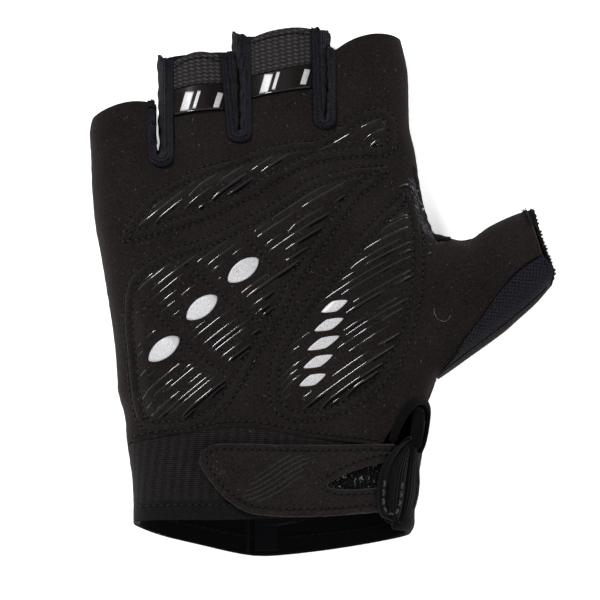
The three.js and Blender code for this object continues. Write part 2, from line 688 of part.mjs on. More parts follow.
// The U of points along a slit's edge, from one finger's edge down to the floor and up to the other.
function slitPath(side, k, count) {
  const path = [];
  const floorY = alongHand(side.floorAt(slits[k]));
  const leftTop = alongHand(side.tip(fingers[k])[2]);
  const rightTop = alongHand(side.tip(fingers[k + 1])[0]);
  const corner = floorY + slitRound;
  for (let i = 0; i <= count; i += 1) {
    const y = mix(leftTop, corner, i / count);
    path.push({ x: side.slit(k, y).left, y });
  }
  const { left, right } = side.slit(k, floorY);
  path.push({ x: (left + right) / 2, y: floorY });
  for (let i = 0; i <= count; i += 1) {
    const y = mix(corner, rightTop, i / count);
    path.push({ x: side.slit(k, y).right, y });
  }
  return path;
}

// Directions pointing from a path of points to its left, level.
function leftwards(path) {
  return path.map((p, i) => {
    const a = path[Math.max(i - 1, 0)];
    const b = path[Math.min(i + 1, path.length - 1)];
    return new THREE.Vector3(a.y - b.y, b.x - a.x, 0).normalize();
  });
}

// The gusset that lines a slit, from the palm's edge down to the back's. Its outer face looks into the
// slit, and the wall is added on that side so that the inner face keeps its gap to the panels.
function gusset(k) {
  const palmPath = slitPath(palm, k, 5);
  const backPath = slitPath(back, k, 5);
  const palmAway = leftwards(palmPath);
  const backAway = leftwards(backPath);
  const across = [0, 0.25, 0.5, 0.75, 1];
  const rows = across.map((t) => palmPath.map((p, i) => {
    const q = backPath[i];
    const away = palmAway[i].clone().lerp(backAway[i], t).normalize();
    const start = palm.point(p.x, p.y).add(new THREE.Vector3(0, 0, -gussetInset));
    const end = back.point(q.x, q.y).add(new THREE.Vector3(0, 0, gussetInset));
    const offset = mix(1.5, 2.3, t) * seamGap + gussetBulge * Math.sin(Math.PI * t);
    return start.lerp(end, t).addScaledVector(away, offset);
  }));
  return clothWall(cells(rows, true), gussetWall);
}

function thumbMeshPanel() {
  const share = (t, a) => mix(backTop(a) + 1.5 * seamShare(a), meshTop(a) - 1.6 * seamShare(a), t);
  return clothWall(cells(thumbGrid(meshStart, 1, 6, steps(4), share, palm.point)), meshWall);
}

// The thumb's back, which laps round its lower side up to the mesh panel.
function thumbBackPanel() {
  const around = (ways, share, pointAt) => (
    thumbGrid(thumbBackStart, thumbBackEnd, thumbSteps, ways, share, pointAt));
  const under = around(steps(8, cosine).reverse(), (t) => t, back.point);
  const lap = around(steps(3).slice(1), (t, a) => backTop(a) * t, (x, y) => topPoint(x, y));
  return clothWall(cells([...under, ...lap]), backWall);
}

// Cuff on the palm side: columns from the left seam to the slit, rows between two lines.
const cuffShares = [0, 0.01, 0.05, 0.14, 0.28, 0.45, 0.62, 0.8, 1];
function palmCuffRows(topLine, bottomLine, count, lift) {
  return steps(count).map((v) => cuffShares.map((t) => {
    const at = mix(bottomLine(t), topLine(t), v);
    const y = alongHand(at);
    const right = Math.min(acrossHand(cuffEdgeX(at)), handRight(y));
    return palm.point(mix(handLeft(y), right, t), y).add(new THREE.Vector3(0, 0, lift));
  }));
}
const seamLeft = leftShare(leftEdge.wrist);
const wristSeam = column([
  { across: 0, at: leftEdge.wrist },
  ...slits.map((slit) => ({
    across: (slit.wristX - seamLeft) / (keyhole[0].x - seamLeft),
    at: slit.wristAt,
  })),
  { across: 1, at: keyhole[0].at },
], 'across', 'at');
const palmHemTop = column(palmHem, 'across', 'top');
const palmHemBottom = column(palmHem, 'across', 'bottom');
const gapAt = seamGap / gloveLength;
function cuffKnit() {
  const top = (t) => wristSeam(t) - 2 * gapAt;
  return clothWall(cells(palmCuffRows(top, (t) => palmHemTop(t) + gapAt, 5, 0)), knitWall);
}
function palmHemBinding() {
  return clothWall(cells(palmCuffRows(palmHemTop, palmHemBottom, 2, bindingProud)), bindingWall);
}

// Cuff on the back: columns from the left seam round to the right one, then up to the turned edge.
const underShares = [0, 0.01, 0.05, 0.14, 0.3, 0.5, 0.7, 0.86, 0.95, 0.99, 1];
const turnShares = [0.03, 0.15, 0.4, 0.7, 1];
const backHemTop = column(backHem, 'around', 'top');
const backHemBottom = column(backHem, 'around', 'bottom');
const turnedRoom = 0.4; // the least width of the part turned up on to the palm side
const turnedX = (at) => Math.min(acrossHand(turnedEdgeX(at)), handRight(alongHand(at)) - turnedRoom);
function backCuffRows(topLine, bottomLine, count) {
  return steps(count).map((v) => {
    const atOf = (t) => mix(topLine(t), bottomLine(t), v);
    const under = underShares.map((t) => {
      const y = alongHand(atOf(t));
      return back.point(mix(handLeft(y), handRight(y), t), y);
    });
    const at = atOf(1);
    const right = handRight(alongHand(at));
    const turned = turnShares.map((t) => topPoint(mix(right, turnedX(at), t), alongHand(at)));
    return [...under, ...turned];
  });
}
const turnRow = 2; // the back cuff's first row that is turned up
const backCuffCount = 9;
function backCuffGrid() {
  return backCuffRows(() => backWristAt - gapAt, (t) => backHemTop(t) + gapAt, backCuffCount);
}
function cuffBack() {
  const keep = (j, i) => i < underShares.length - 1 || j >= turnRow;
  return clothWall(cells(backCuffGrid(), false, keep), knitWall);
}
const backHemRows = () => backCuffRows(backHemTop, backHemBottom, 2);
const cuffHemBack = () => clothWall(cells(backHemRows()), bindingWall * 0.8);

// The binding round the keyhole: up the palm piece's edge, over the top and down the turned edge.
function slitBinding() {
  const up = keyhole.slice(0, -1).map((row) => ({ x: acrossHand(row.x), y: alongHand(row.at) }));
  const turned = [...backCuffGrid().slice(turnRow), ...backHemRows()].map((row) => row[row.length - 1]);
  const path = [...up, ...turned.map((p) => ({ x: p.x, y: p.y }))];
  const away = leftwards(path).map((v) => v.negate());
  const rows = steps(2).map((t) => path.map((p, i) => {
    const offset = 2.6 * seamGap + bindingWidth * t;
    return raisedPoint(p.x + away[i].x * offset, p.y + away[i].y * offset, bindingProud);
  }));
  return clothWall(cells(rows, true), bindingWall * 0.8);
}

// The leaf-shaped flap over the turned-up cuff. It sits a share of the room in from the turned edge.
const flapPlace = 0.45;
const flapShare = 0.84; // the most of the room that it takes
const leafEnds = 0.9; // how near the leaf's ends come to a point: 1 is a point
function closureFlap() {
  const grid = [...backCuffGrid().slice(turnRow + 3), ...backHemRows().slice(1)];
  const rows = grid.map((row, j) => {
    const s = j / (grid.length - 1);
    const edge = row[row.length - 1];
    const side = handRight(edge.y);
    const room = side - edge.x;
    const middle = edge.x + room * flapPlace;
    const leaf = Math.sqrt(1 - (leafEnds * (2 * s - 1)) ** 2);
    const half = (Math.min(flapWidth, room * flapShare) / 2) * leaf;
    return steps(6).map((t) => raisedPoint(middle + mix(-half, half, t), edge.y, seamGap + flapWall));
  });
  return clothWall(cells(rows, true), flapWall);
}

// The strap and the loop patch under it, as sheets over the cuff.
const strapTip = { x: acrossHand(strapTipPlace.x), y: alongHand(strapTipPlace.at) };
const strapLift = loopLift + loopWall + seamGap;
const strapRows = 18;
const strapCrowding = 1.3; // rows crowd towards the strap's rounded tip
const strapUpper = column(strapOutline, 's', 'upper');
const strapLower = column(strapOutline, 's', 'lower');
const notchPoint = strapLength - notchLength;
function closureStrap() {
  const rows = steps(strapRows, (t) => t ** strapCrowding).map((s) => {
    const along = s * strapLength;
    const high = strapUpper(s) * strapWidth;
    const low = strapLower(s) * strapWidth;
    const opening = Math.max(0, (along - notchPoint) / notchLength);
    const notch = [notchShift, notchShift + opening * notchWidth];
    const start = clamp(notch[0], low, high);
    const marks = [low, mix(low, start, 0.5), start, mix(...notch, 0.5), notch[1],
      mix(high, notch[1], 0.5), high];
    if (!opening) marks.splice(2, 3, start, start, start);
    const lift = strapLift + strapWall;
    return marks.map((side) => raisedPoint(strapTip.x + along, strapTip.y + side, lift));
  });
  const notchRow = Math.floor(strapRows * (notchPoint / strapLength) ** (1 / strapCrowding));
  const keep = (j, i) => !((i === 2 || i === 3) && j >= notchRow);
  return clothWall(cells(rows, true, keep), strapWall);
}
function loopPatchPiece() {
  const rows = steps(4).map((v) => steps(8).map((t) => {
    const x = strapTip.x + loopStart + loopLength * t;
    const y = strapTip.y + loopWidth * (v - 0.5);
    return raisedPoint(x, y, loopLift + loopWall);
  }));
  return clothWall(cells(rows), loopWall);
}
// The tape on the inside of the back, from its hem inwards.
function innerTape() {
  const rows = steps(2).map((v) => steps(3).map((t) => {
    const x = handCentre + tapeShift + tapeWidth * t;
    const around = (x - acrossHand(seamLeft)) / (handRight(alongHand(0)) - acrossHand(seamLeft));
    const y = alongHand(backHemTop(around)) + seamGap + tapeLength * v;
    return backPoint(x, y, knitWall + seamGap + tapeWall);
  }));
  return clothWall(cells(rows), tapeWall);
}

// A padded shape: its sections run across it, and it thickens from its border inwards.
function pad(name) {
  const table = pads[name];
  const read = ['innerX', 'innerAt', 'outerX', 'outerAt'].map((field) => column(table, 's', field));
  const across = [0, 0.04, 0.12, 0.25, 0.4, 0.6, 0.8, 0.95, 1];
  const thickness = new Map();
  const rows = steps(26).map((s) => across.map((t) => {
    const [innerX, innerAt, outerX, outerAt] = read.map((f) => f(s));
    const x = acrossHand(mix(innerX, outerX, t));
    const y = alongHand(mix(innerAt, outerAt, t));
    const dome = Math.min(1, 4.5 * t * (1 - t) + 0.1) * Math.min(1, 6 * s * (1 - s) + 0.05);
    const groove = padGrooves[name].reduce((deep, at) => {
      const away = (s - at) * grooveRun;
      return Math.max(deep, Math.exp(-((away / grooveWidth) ** 2)));
    }, 0);
    const thick = padEdge + (padRise - grooveDepth * groove) * dome;
    const point = raisedPoint(x, y, seamGap + thick);
    thickness.set(point, thick);
    return point;
  }));
  return clothWall(cells(rows), (point) => thickness.get(point));
}

// Materials
const cloth = (color, roughness) => new THREE.MeshStandardMaterial({ color, roughness, metalness: 0 });
const materials = {
  suede: cloth(0x211d1c, 0.92),
  padding: cloth(0x252120, 0.8),
  stretch: cloth(0x1e1c26, 0.78),
  gusset: cloth(0x27242d, 0.75),
  mesh: cloth(0x333031, 0.85),
  thumbMesh: cloth(0x1d1c22, 0.8),
  gloss: cloth(0x17120f, 0.3),
  knit: cloth(0x201d1e, 0.88),
  strap: cloth(0x242020, 0.9),
  loop: cloth(0x0d0c0c, 0.95),
  tape: cloth(0x22222e, 0.8),
};

const glove = new THREE.Group();
glove.name = 'cycling_glove';
function add(name, geometry, material) {
  const mesh = new THREE.Mesh(geometry, materials[material]);
  mesh.name = name;
  glove.add(mesh);
}
add('palm_panel', palmPanel(), 'suede');
add('back_panel', backPanel(), 'stretch');
Object.keys(pads).forEach((name) => add(name, pad(name), 'padding'));
fingers.forEach((finger, k) => {
  if (!finger.band) return;
  const band = fingerPanel(k, finger.band, finger.mesh, 2, bandWall, bandProud);
  const mesh = fingerPanel(k, finger.mesh, finger.tip, 2, meshWall, 0);
  add(`${finger.name}_grip_band`, band, 'gloss');
  add(`${finger.name}_mesh_panel`, mesh, 'mesh');
});
slits.forEach((slit, k) => {
  add(`gusset_${fingers[k].name}_${fingers[k + 1].name}`, gusset(k), 'gusset');
});
add('thumb_mesh_panel', thumbMeshPanel(), 'thumbMesh');
add('thumb_back_panel', thumbBackPanel(), 'stretch');
add('cuff_knit', cuffKnit(), 'knit');
add('cuff_hem_palm', palmHemBinding(), 'knit');
add('cuff_back', cuffBack(), 'stretch');
add('cuff_hem_back', cuffHemBack(), 'knit');
add('slit_binding', slitBinding(), 'knit');
add('closure_flap', closureFlap(), 'knit');
add('loop_patch', loopPatchPiece(), 'loop');
add('closure_strap', closureStrap(), 'strap');
add('inner_tape', innerTape(), 'tape');

export default glove;
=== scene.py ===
"""Fingerless cycling glove, palm up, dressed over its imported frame.

The skin, a pillow over the hand and a pillow over the thumb, is worked out from named sizes and short
tables in millimetres, as shares of the glove's length and the palm's width. Every cloth piece is laid on
that skin as a fine grid and gets its own wall. Stitches, silicone ridges and prints are then dropped on
to the finished pieces from above, so that they sit on what carries them.
"""
import math
import random

import bpy
import numpy as np
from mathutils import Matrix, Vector
from mathutils.bvhtree import BVHTree


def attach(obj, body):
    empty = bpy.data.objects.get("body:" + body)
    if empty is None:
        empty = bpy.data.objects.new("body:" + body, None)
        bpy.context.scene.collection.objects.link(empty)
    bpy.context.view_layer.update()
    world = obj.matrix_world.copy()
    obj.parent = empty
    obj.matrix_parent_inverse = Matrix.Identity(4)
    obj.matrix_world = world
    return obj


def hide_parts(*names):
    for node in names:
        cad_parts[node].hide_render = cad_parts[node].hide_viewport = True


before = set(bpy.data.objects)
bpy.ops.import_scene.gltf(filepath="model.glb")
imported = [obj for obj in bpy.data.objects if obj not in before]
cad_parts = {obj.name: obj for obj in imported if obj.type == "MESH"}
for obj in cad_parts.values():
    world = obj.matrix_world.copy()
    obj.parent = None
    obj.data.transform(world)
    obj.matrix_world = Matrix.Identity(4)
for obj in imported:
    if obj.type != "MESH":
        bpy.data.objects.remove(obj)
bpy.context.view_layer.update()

chance = random.Random(7)
MM = 0.001

# Overall form, in millimetres
GLOVE_LENGTH = 163.0
PALM_WIDTH = 97.0
PALM_HEIGHT = 26.0
SEAM_HEIGHT = 9.0
PALM_ROLL = 25.0
BACK_ROLL = 15.0
FINGER_ROLL = 11.0
HAND_CENTRE = -20.5

# Thumb
THUMB_LENGTH = 52.5
THUMB_WIDTH = 28.0
THUMB_HEIGHT = 21.0
THUMB_ANGLE = math.radians(32)
THUMB_ROOT_AT = 0.46
THUMB_ROOT_X = 0.5825
THUMB_BLEND = 4.0

# Slits between the fingers
SLIT_ROUND = 2.8
SLIT_DIP = 3.2
SLIT_DIP_REACH = 8.0
SLIT_FADE = 20.0
BACK_SLIT_RISE = 1.8
GUSSET_INSET = 0.2

# Walls
SUEDE_WALL = 1.3
BACK_WALL = 1.2
GUSSET_WALL = 1.0
BAND_WALL = 1.3
KNIT_WALL = 1.2
MESH_WALL = 1.1
BINDING_WALL = 1.9
SEAM_GAP = 0.3
BAND_PROUD = 0.5

# Padding
PAD_RISE = 2.3
PAD_WELT = 0.7
PAD_INNER_ROW = 2.7  # from a pad's border to its inner row of stitches
PAD_SLOPE = 4.5
GROOVE_WIDTH = 1.5

# Closure at the wrist
STRAP_LENGTH = 58.6
STRAP_WIDTH = 22.4
STRAP_WALL = 1.6
STRAP_TIP_AT = 0.1258
STRAP_TIP_X = -0.1711
LOOP_WALL = 1.0
LOOP_LIFT = 0.5
LOOP_START = 29.0
LOOP_LENGTH = 29.0
LOOP_WIDTH = 17.2
FLAP_WALL = 1.2
BINDING_PROUD = 0.4
TAPE_WALL = 0.5
TAPE_START = -0.6
TAPE_WIDTH = 7.0
TAPE_HEAD = 8.5
TAPE_LENGTH = 9.6
LOOP_COUNT = 520
# how many loops are drawn near white, as painted glints
GLINT_LOOPS = 45

# Radii of threads, needle holes (dark beads of painted shade), ridges and the painted shadows beside them,
# and fibres
PAD_STITCH = 0.26
PAD_HOLE_SHADE = 0.36
ROW_STITCH = 0.24
ROW_HOLE_SHADE = 0.32
FLAP_STITCH = 0.36
FLAP_HOLE_SHADE = 0.42
LINING_STITCH = 0.3
LINING_HOLE_SHADE = 0.4
RIDGE = 0.52
# radius of the dark tube of painted shadow beside each ridge
RIDGE_SHADOW = 0.62
CROTCH_MARK = 0.45
PRESSED_LINE = 0.3
LOOP_THREAD = 0.08
GLINT_THREAD = 0.06
OVERSEWING = 0.13
CUT_FIBRE = 0.07
EDGE_FIBRE = 0.055
LINT_FIBRE = 0.05


def table(columns, *rows):
    """A table as one list for each named column."""
    return {name: np.array(values, float) for name, values in zip(columns.split(), zip(*rows))}


# The hand's outline and height at shares of the glove's length
hand_outline = table(
    "at left right",
    (0.0, -0.378, 0.44),
    (0.015, -0.38, 0.457),
    (0.03, -0.382, 0.474),
    (0.052, -0.385, 0.495),
    (0.075, -0.385, 0.497),
    (0.1, -0.385, 0.499),
    (0.145, -0.39, 0.51),
    (0.213, -0.407, 0.528),
    (0.26, -0.414, 0.537),
    (0.305, -0.435, 0.547),
    (0.332, -0.438, 0.569),
    (0.4, -0.448, 0.579),
    (0.488, -0.47, 0.582),
    (0.58, -0.497, 0.58),
    (0.625, -0.511, 0.545),
    (0.694, -0.522, 0.518),
    (0.763, -0.527, 0.502),
    (0.808, -0.53, 0.485),
    (0.86, -0.505, 0.482),
    (0.923, -0.47, 0.478),
    (1.0, -0.46, 0.45),
)
hand_crown = table(
    "at crown",
    (0.0, 0.8),
    (0.1, 0.88),
    (0.22, 0.94),
    (0.38, 1.0),
    (0.55, 1.0),
    (0.68, 0.92),
    (0.78, 0.78),
    (0.88, 0.71),
    (1.0, 0.68),
)
thumb_outline = table(
    "at lower upper crown",
    (-0.8, -0.6, 0.6, 0.2),
    (-0.26, -0.63, 0.72, 1.08),
    (0.0, -0.6, 0.71, 1.06),
    (0.25, -0.565, 0.63, 1.02),
    (0.34, -0.535, 0.5, 1.0),
    (0.5, -0.48, 0.507, 0.96),
    (0.64, -0.4, 0.48, 0.92),
    (0.82, -0.33, 0.41, 0.86),
)
thumb_borders = table(
    "along back_top mesh_top",
    (0.0, 0.0, 0.0),
    (0.12, 0.012, 0.05),
    (0.24, 0.025, 0.145),
    (0.33, 0.03, 0.2),
    (0.43, 0.033, 0.265),
    (0.52, 0.036, 0.32),
    (0.6, 0.038, 0.354),
    (0.72, 0.032, 0.39),
    (0.84, 0.03, 0.396),
    (0.95, 0.018, 0.37),
    (1.1, 0.01, 0.34),
)
THUMB_LOWER_ROOT = -0.25
THUMB_LOWER_TIP = 0.635
THUMB_UPPER_ROOT = 0.235
THUMB_UPPER_TIP = 0.755
THUMB_BACK_START = 0.012
THUMB_BACK_END = 1.055
THUMB_PALM_END = 0.965
THUMB_MESH_END = 0.975
THUMB_CORNER = 0.06  # how much sooner the thumb's open end stops at its lower corner
THUMB_CORNER_REACH = 0.17
MESH_TONGUE = 0.05  # how much further the thumb's mesh reaches below the suede's edge

# Slits from the little finger's side, and the fingers' edges at left, middle and right
slits = table(
    "at left right left_tip right_tip back_at back_x back_width wrist_at wrist_x",
    (0.7235, -0.331, -0.267, -0.338, -0.267, 0.757, -0.315, 3.9, 0.217, -0.215),
    (0.773, -0.088, -0.018, -0.115, -0.023, 0.795, -0.053, 2.7, 0.227, -0.03),
    (0.8, 0.182, 0.2485, 0.174, 0.245, 0.81, 0.224, 2.7, 0.208, 0.165),
)
FINGERS = ("little", "ring", "middle", "index")
finger_tip = {"little": (0.824, 0.846, 0.852), "ring": (0.929, 0.9465, 0.942),
              "middle": (0.976, 0.991, 0.996), "index": (0.952, 0.98, 0.978)}
finger_back_tip = {"little": (0.828, 0.855, 0.858), "ring": (0.954, 0.967, 0.963),
                   "middle": (0.996, 1.0, 0.992), "index": (0.97, 0.987, 0.978)}
band_start = {"ring": (0.823, 0.829, 0.8355), "middle": (0.857, 0.867, 0.878)}
mesh_start = {"ring": (0.874, 0.882, 0.8875), "middle": (0.901, 0.911, 0.926)}

LEFT_EDGE_WRIST = 0.204
LEFT_EDGE_SLITS = 0.724
RIGHT_EDGE_TOP = 0.8
THUMB_ROWS_LOW = 0.33
THUMB_ROWS_HIGH = 0.6
BACK_WRIST_AT = 0.3
keyhole = table(
    "at x",
    (0.192, 0.392),
    (0.214, 0.412),
    (0.237, 0.44),
    (0.257, 0.471),
    (0.27, 0.505),
    (0.284, 0.5395),
)
cuff_edge = table("at x", (0.05, 0.3), (0.12, 0.33), (0.192, 0.392))
turned_edge = table(
    "at x",
    (0.02, 0.425),
    (0.08, 0.43),
    (0.13, 0.437),
    (0.163, 0.458),
    (0.182, 0.492),
    (0.215, 0.516),
    (0.25, 0.525),
)
palm_hem = table(
    "across top bottom",
    (0, 0.09, 0.056),
    (0.35, 0.089, 0.053),
    (0.75, 0.089, 0.058),
    (1, 0.092, 0.068),
)
back_hem = table(
    "around top bottom",
    (0, 0.088, 0.055),
    (0.1, 0.071, 0.04),
    (0.2, 0.059, 0.028),
    (0.4, 0.038, 0.006),
    (0.5, 0.034, 0.002),
    (0.7, 0.042, 0.012),
    (0.88, 0.056, 0.027),
    (1, 0.068, 0.037),
)
strap_outline = table(
    "s upper lower",
    (0, 0.3, 0.235),
    (0.004, 0.357, 0.179),
    (0.022, 0.402, 0.115),
    (0.064, 0.4625, -0.045),
    (0.111, 0.469, -0.188),
    (0.2, 0.469, -0.362),
    (0.264, 0.467, -0.429),
    (0.424, 0.457, -0.469),
    (0.666, 0.453, -0.46),
    (0.922, 0.4755, -0.402),
    (1, 0.487, -0.375),
)
# The notch in the strap: place along it, and its upper and lower edges from the strap's middle line
notch_outline = table(
    "along roof floor",
    (37.3, -1.61, -1.61),
    (38.4, -0.8, -2.35),
    (40.5, 0.43, -3.0),
    (43.5, 2.08, -3.2),
    (47.5, 3.7, -3.05),
    (51.6, 5.03, -2.55),
    (58.6, 6.8, -1.7),
)
flap_outline = table(
    "at left right",
    (0.0535, 0.405, 0.445),
    (0.0586, 0.382, 0.458),
    (0.0685, 0.372, 0.468),
    (0.0944, 0.3655, 0.4815),
    (0.1148, 0.3665, 0.4866),
    (0.1355, 0.3725, 0.489),
    (0.1604, 0.3875, 0.4905),
    (0.1777, 0.4065, 0.4905),
    (0.19, 0.425, 0.4875),
    (0.1995, 0.444, 0.4785),
    (0.2045, 0.4585, 0.4705),
)
# The keyhole's roll, from the strap round the top and down its outer side, and its wide inner leg
keyhole_roll = ((20.7, -49.6), (21.3, -46.5), (22.6, -43.4), (23.9, -40.9), (25.6, -38.6), (27.5, -36.7),
                (29.4, -35.9), (30.9, -36.5), (31.4, -38.3), (31.2, -41.0), (30.7, -44.6), (29.8, -48.5),
                (28.6, -51.5))
keyhole_leg = ((27.7, -38.0), (27.9, -39.6), (27.8, -42.0), (27.5, -45.0), (27.0, -48.2), (26.4, -50.6))
pads = {
    "gel_pad_upper": table(
        "s inner_x inner_at outer_x outer_at",
        (0.0, -0.428, 0.58, -0.425, 0.584),
        (0.09, -0.391, 0.579, -0.403, 0.611),
        (0.18, -0.318, 0.587, -0.334, 0.661),
        (0.27, -0.224, 0.604, -0.224, 0.702),
        (0.36, -0.13, 0.625, -0.108, 0.729),
        (0.45, -0.02, 0.659, -0.001, 0.752),
        (0.54, 0.075, 0.695, 0.097, 0.766),
        (0.63, 0.16, 0.724, 0.178, 0.773),
        (0.72, 0.232, 0.736, 0.238, 0.79),
        (0.81, 0.326, 0.741, 0.32, 0.823),
        (0.9, 0.405, 0.744, 0.398, 0.834),
        (1.0, 0.442, 0.762, 0.442, 0.812),
    ),
    "gel_pad_outer": table(
        "s inner_x inner_at outer_x outer_at",
        (0.0, -0.37, 0.24, -0.33, 0.218),
        (0.09, -0.39, 0.29, -0.208, 0.222),
        (0.18, -0.402, 0.36, -0.112, 0.252),
        (0.27, -0.412, 0.434, -0.045, 0.308),
        (0.36, -0.392, 0.505, 0.015, 0.37),
        (0.45, -0.287, 0.55, 0.072, 0.424),
        (0.54, -0.161, 0.577, 0.124, 0.486),
        (0.63, -0.035, 0.615, 0.186, 0.543),
        (0.72, 0.075, 0.653, 0.257, 0.606),
        (0.81, 0.163, 0.69, 0.322, 0.66),
        (0.9, 0.279, 0.712, 0.383, 0.692),
        (1.0, 0.4, 0.722, 0.42, 0.717),
    ),
    "gel_pad_thumb": table(
        "s inner_x inner_at outer_x outer_at",
        (0.0, 0.046, 0.272, 0.064, 0.252),
        (0.1, 0.043, 0.314, 0.14, 0.235),
        (0.2, 0.064, 0.368, 0.263, 0.25),
        (0.3, 0.105, 0.413, 0.364, 0.287),
        (0.4, 0.158, 0.459, 0.439, 0.342),
        (0.5, 0.22, 0.504, 0.483, 0.398),
        (0.6, 0.291, 0.556, 0.51, 0.463),
        (0.7, 0.362, 0.607, 0.52, 0.533),
        (0.8, 0.43, 0.649, 0.518, 0.588),
        (0.9, 0.462, 0.672, 0.508, 0.632),
        (1.0, 0.475, 0.683, 0.49, 0.662),
    ),
}
# Flex grooves sewn across the outer pad, as lines of x and y in millimetres
flex_grooves = (
    ((-55.5, -5.3), (-48.8, -12.7), (-38.4, -22.7), (-30.2, -28.6)),
    ((-40.9, 3.7), (-36.6, 0.0), (-31.1, -5.0), (-25.6, -9.3), (-19.8, -13.4)),
    ((-24.3, 13.4), (-20.1, 8.7), (-14.4, 3.8)),
)


# Skin
def mix(a, b, t):
    return a + (b - a) * t


def ease(low, high, v):
    t = np.clip((v - low) / (high - low), 0, 1)
    return t * t * (3 - 2 * t)


def column(rows, key, name):
    """A smooth curve through a table's column, read at any value of its key column."""
    keys, values = rows[key], rows[name]
    last = len(keys) - 1
    before = np.maximum(np.arange(last + 1) - 1, 0)
    after = np.minimum(np.arange(last + 1) + 1, last)
    slope = (values[after] - values[before]) / (keys[after] - keys[before])

    def read(value):
        v = np.clip(value, keys[0], keys[-1])
        i = np.clip(np.searchsorted(keys, v, side="left") - 1, 0, last - 1)
        step = keys[i + 1] - keys[i]
        t = (v - keys[i]) / step
        bow = t * (1 - t) * step
        curve = mix(values[i], values[i + 1], t * t * (3 - 2 * t))
        return curve + bow * ((1 - t) * slope[i] - t * slope[i + 1])

    return read


def along_hand(at):
    return (at - 0.5) * GLOVE_LENGTH


def across_hand(share):
    return HAND_CENTRE + share * PALM_WIDTH


def hand_at(y):
    return y / GLOVE_LENGTH + 0.5


left_share = column(hand_outline, "at", "left")
right_share = column(hand_outline, "at", "right")
crown_share = column(hand_crown, "at", "crown")
thumb_lower = column(thumb_outline, "at", "lower")
thumb_upper = column(thumb_outline, "at", "upper")
thumb_crown = column(thumb_outline, "at", "crown")
back_top = column(thumb_borders, "along", "back_top")
mesh_top = column(thumb_borders, "along", "mesh_top")
cuff_edge_x = column(cuff_edge, "at", "x")
turned_edge_x = column(turned_edge, "at", "x")
palm_hem_top = column(palm_hem, "across", "top")
palm_hem_bottom = column(palm_hem, "across", "bottom")
back_hem_top = column(back_hem, "around", "top")
back_hem_bottom = column(back_hem, "around", "bottom")
strap_upper = column(strap_outline, "s", "upper")
strap_lower = column(strap_outline, "s", "lower")
notch_roof = column(notch_outline, "along", "roof")
notch_floor = column(notch_outline, "along", "floor")
flap_left = column(flap_outline, "at", "left")
flap_right = column(flap_outline, "at", "right")

THUMB_X = across_hand(THUMB_ROOT_X)
THUMB_Y = along_hand(THUMB_ROOT_AT)
THUMB_COS = math.cos(THUMB_ANGLE)
THUMB_SIN = math.sin(THUMB_ANGLE)
OUTSIDE = -60.0
ABOVE = 80.0  # a height over everything
SLACK = 1e-6


def hand_left(y):
    return across_hand(left_share(hand_at(y)))


def hand_right(y):
    return across_hand(right_share(hand_at(y)))


def thumb_point(at, across):
    along = at * THUMB_LENGTH
    side = across * THUMB_WIDTH
    return (THUMB_X + along * THUMB_COS - side * THUMB_SIN,
            THUMB_Y + along * THUMB_SIN + side * THUMB_COS)


def thumb_place(x, y):
    dx = x - THUMB_X
    dy = y - THUMB_Y
    return ((dx * THUMB_COS + dy * THUMB_SIN) / THUMB_LENGTH,
            (dy * THUMB_COS - dx * THUMB_SIN) / THUMB_WIDTH)


def palm_slit(k, y):
    """The palm side's two edges of a slit at a place along the hand, and its line to the wrist."""
    floor = along_hand(slits["at"][k])
    left_floor, right_floor = across_hand(slits["left"][k]), across_hand(slits["right"][k])
    below = np.clip((floor - y) / (floor - along_hand(slits["wrist_at"][k])), 0, 1)
    middle = mix((left_floor + right_floor) / 2, across_hand(slits["wrist_x"][k]), below)
    half = (right_floor - left_floor) / 2 * mix(1, 0.3, below)
    up_left = np.clip((y - floor) / (along_hand(finger_tip[FINGERS[k]][2]) - floor), 0, 1.2)
    up_right = np.clip((y - floor) / (along_hand(finger_tip[FINGERS[k + 1]][0]) - floor), 0, 1.2)
    left = mix(left_floor, across_hand(slits["left_tip"][k]), up_left)
    right = mix(right_floor, across_hand(slits["right_tip"][k]), up_right)
    under = y <= floor
    return np.where(under, middle - half, left), np.where(under, middle + half, right)


def back_slit(k, y):
    """The same for the back, whose slits are narrower and even."""
    floor = along_hand(slits["back_at"][k])
    below = np.clip((floor - y) / (floor - along_hand(BACK_WRIST_AT)), 0, 1)
    middle = mix(across_hand(slits["back_x"][k]), across_hand(slits["wrist_x"][k]), below)
    half = slits["back_width"][k] / 2 * mix(1, 0.5, below)
    return middle - half, middle + half


def slit_nearness(x, y):
    """1 on the edge of the closest slit and 0 out of reach, fading out below its floor."""
    nearest = 0.0
    for k in range(3):
        floor = along_hand(slits["at"][k])
        left, right = palm_slit(k, y)
        away = np.maximum(np.maximum(left - x, x - right), 0)
        near = np.maximum(0, 1 - away / SLIT_DIP_REACH) ** 2
        nearest = np.maximum(nearest, near * ease(floor - SLIT_FADE, floor, y))
    return nearest


def roll(distance, width, power):
    """How much of a pillow's height is missing at a distance from its edge."""
    s = np.clip(distance / width, 0, 1)
    return 1 - (1 - (1 - s) ** power) ** (1 / power)


def hand_top(x, y):
    left = x - hand_left(y)
    right = hand_right(y) - x
    width = mix(PALM_ROLL, FINGER_ROLL, ease(0.68, 0.8, hand_at(y)))
    crown = PALM_HEIGHT * crown_share(hand_at(y))
    lost = np.minimum(roll(left, width, 2.5) + roll(right, width, 2.5), 1)
    height = mix(crown, SEAM_HEIGHT, lost) - SLIT_DIP * slit_nearness(x, y)
    return np.where((left < -SLACK) | (right < -SLACK), OUTSIDE, height)


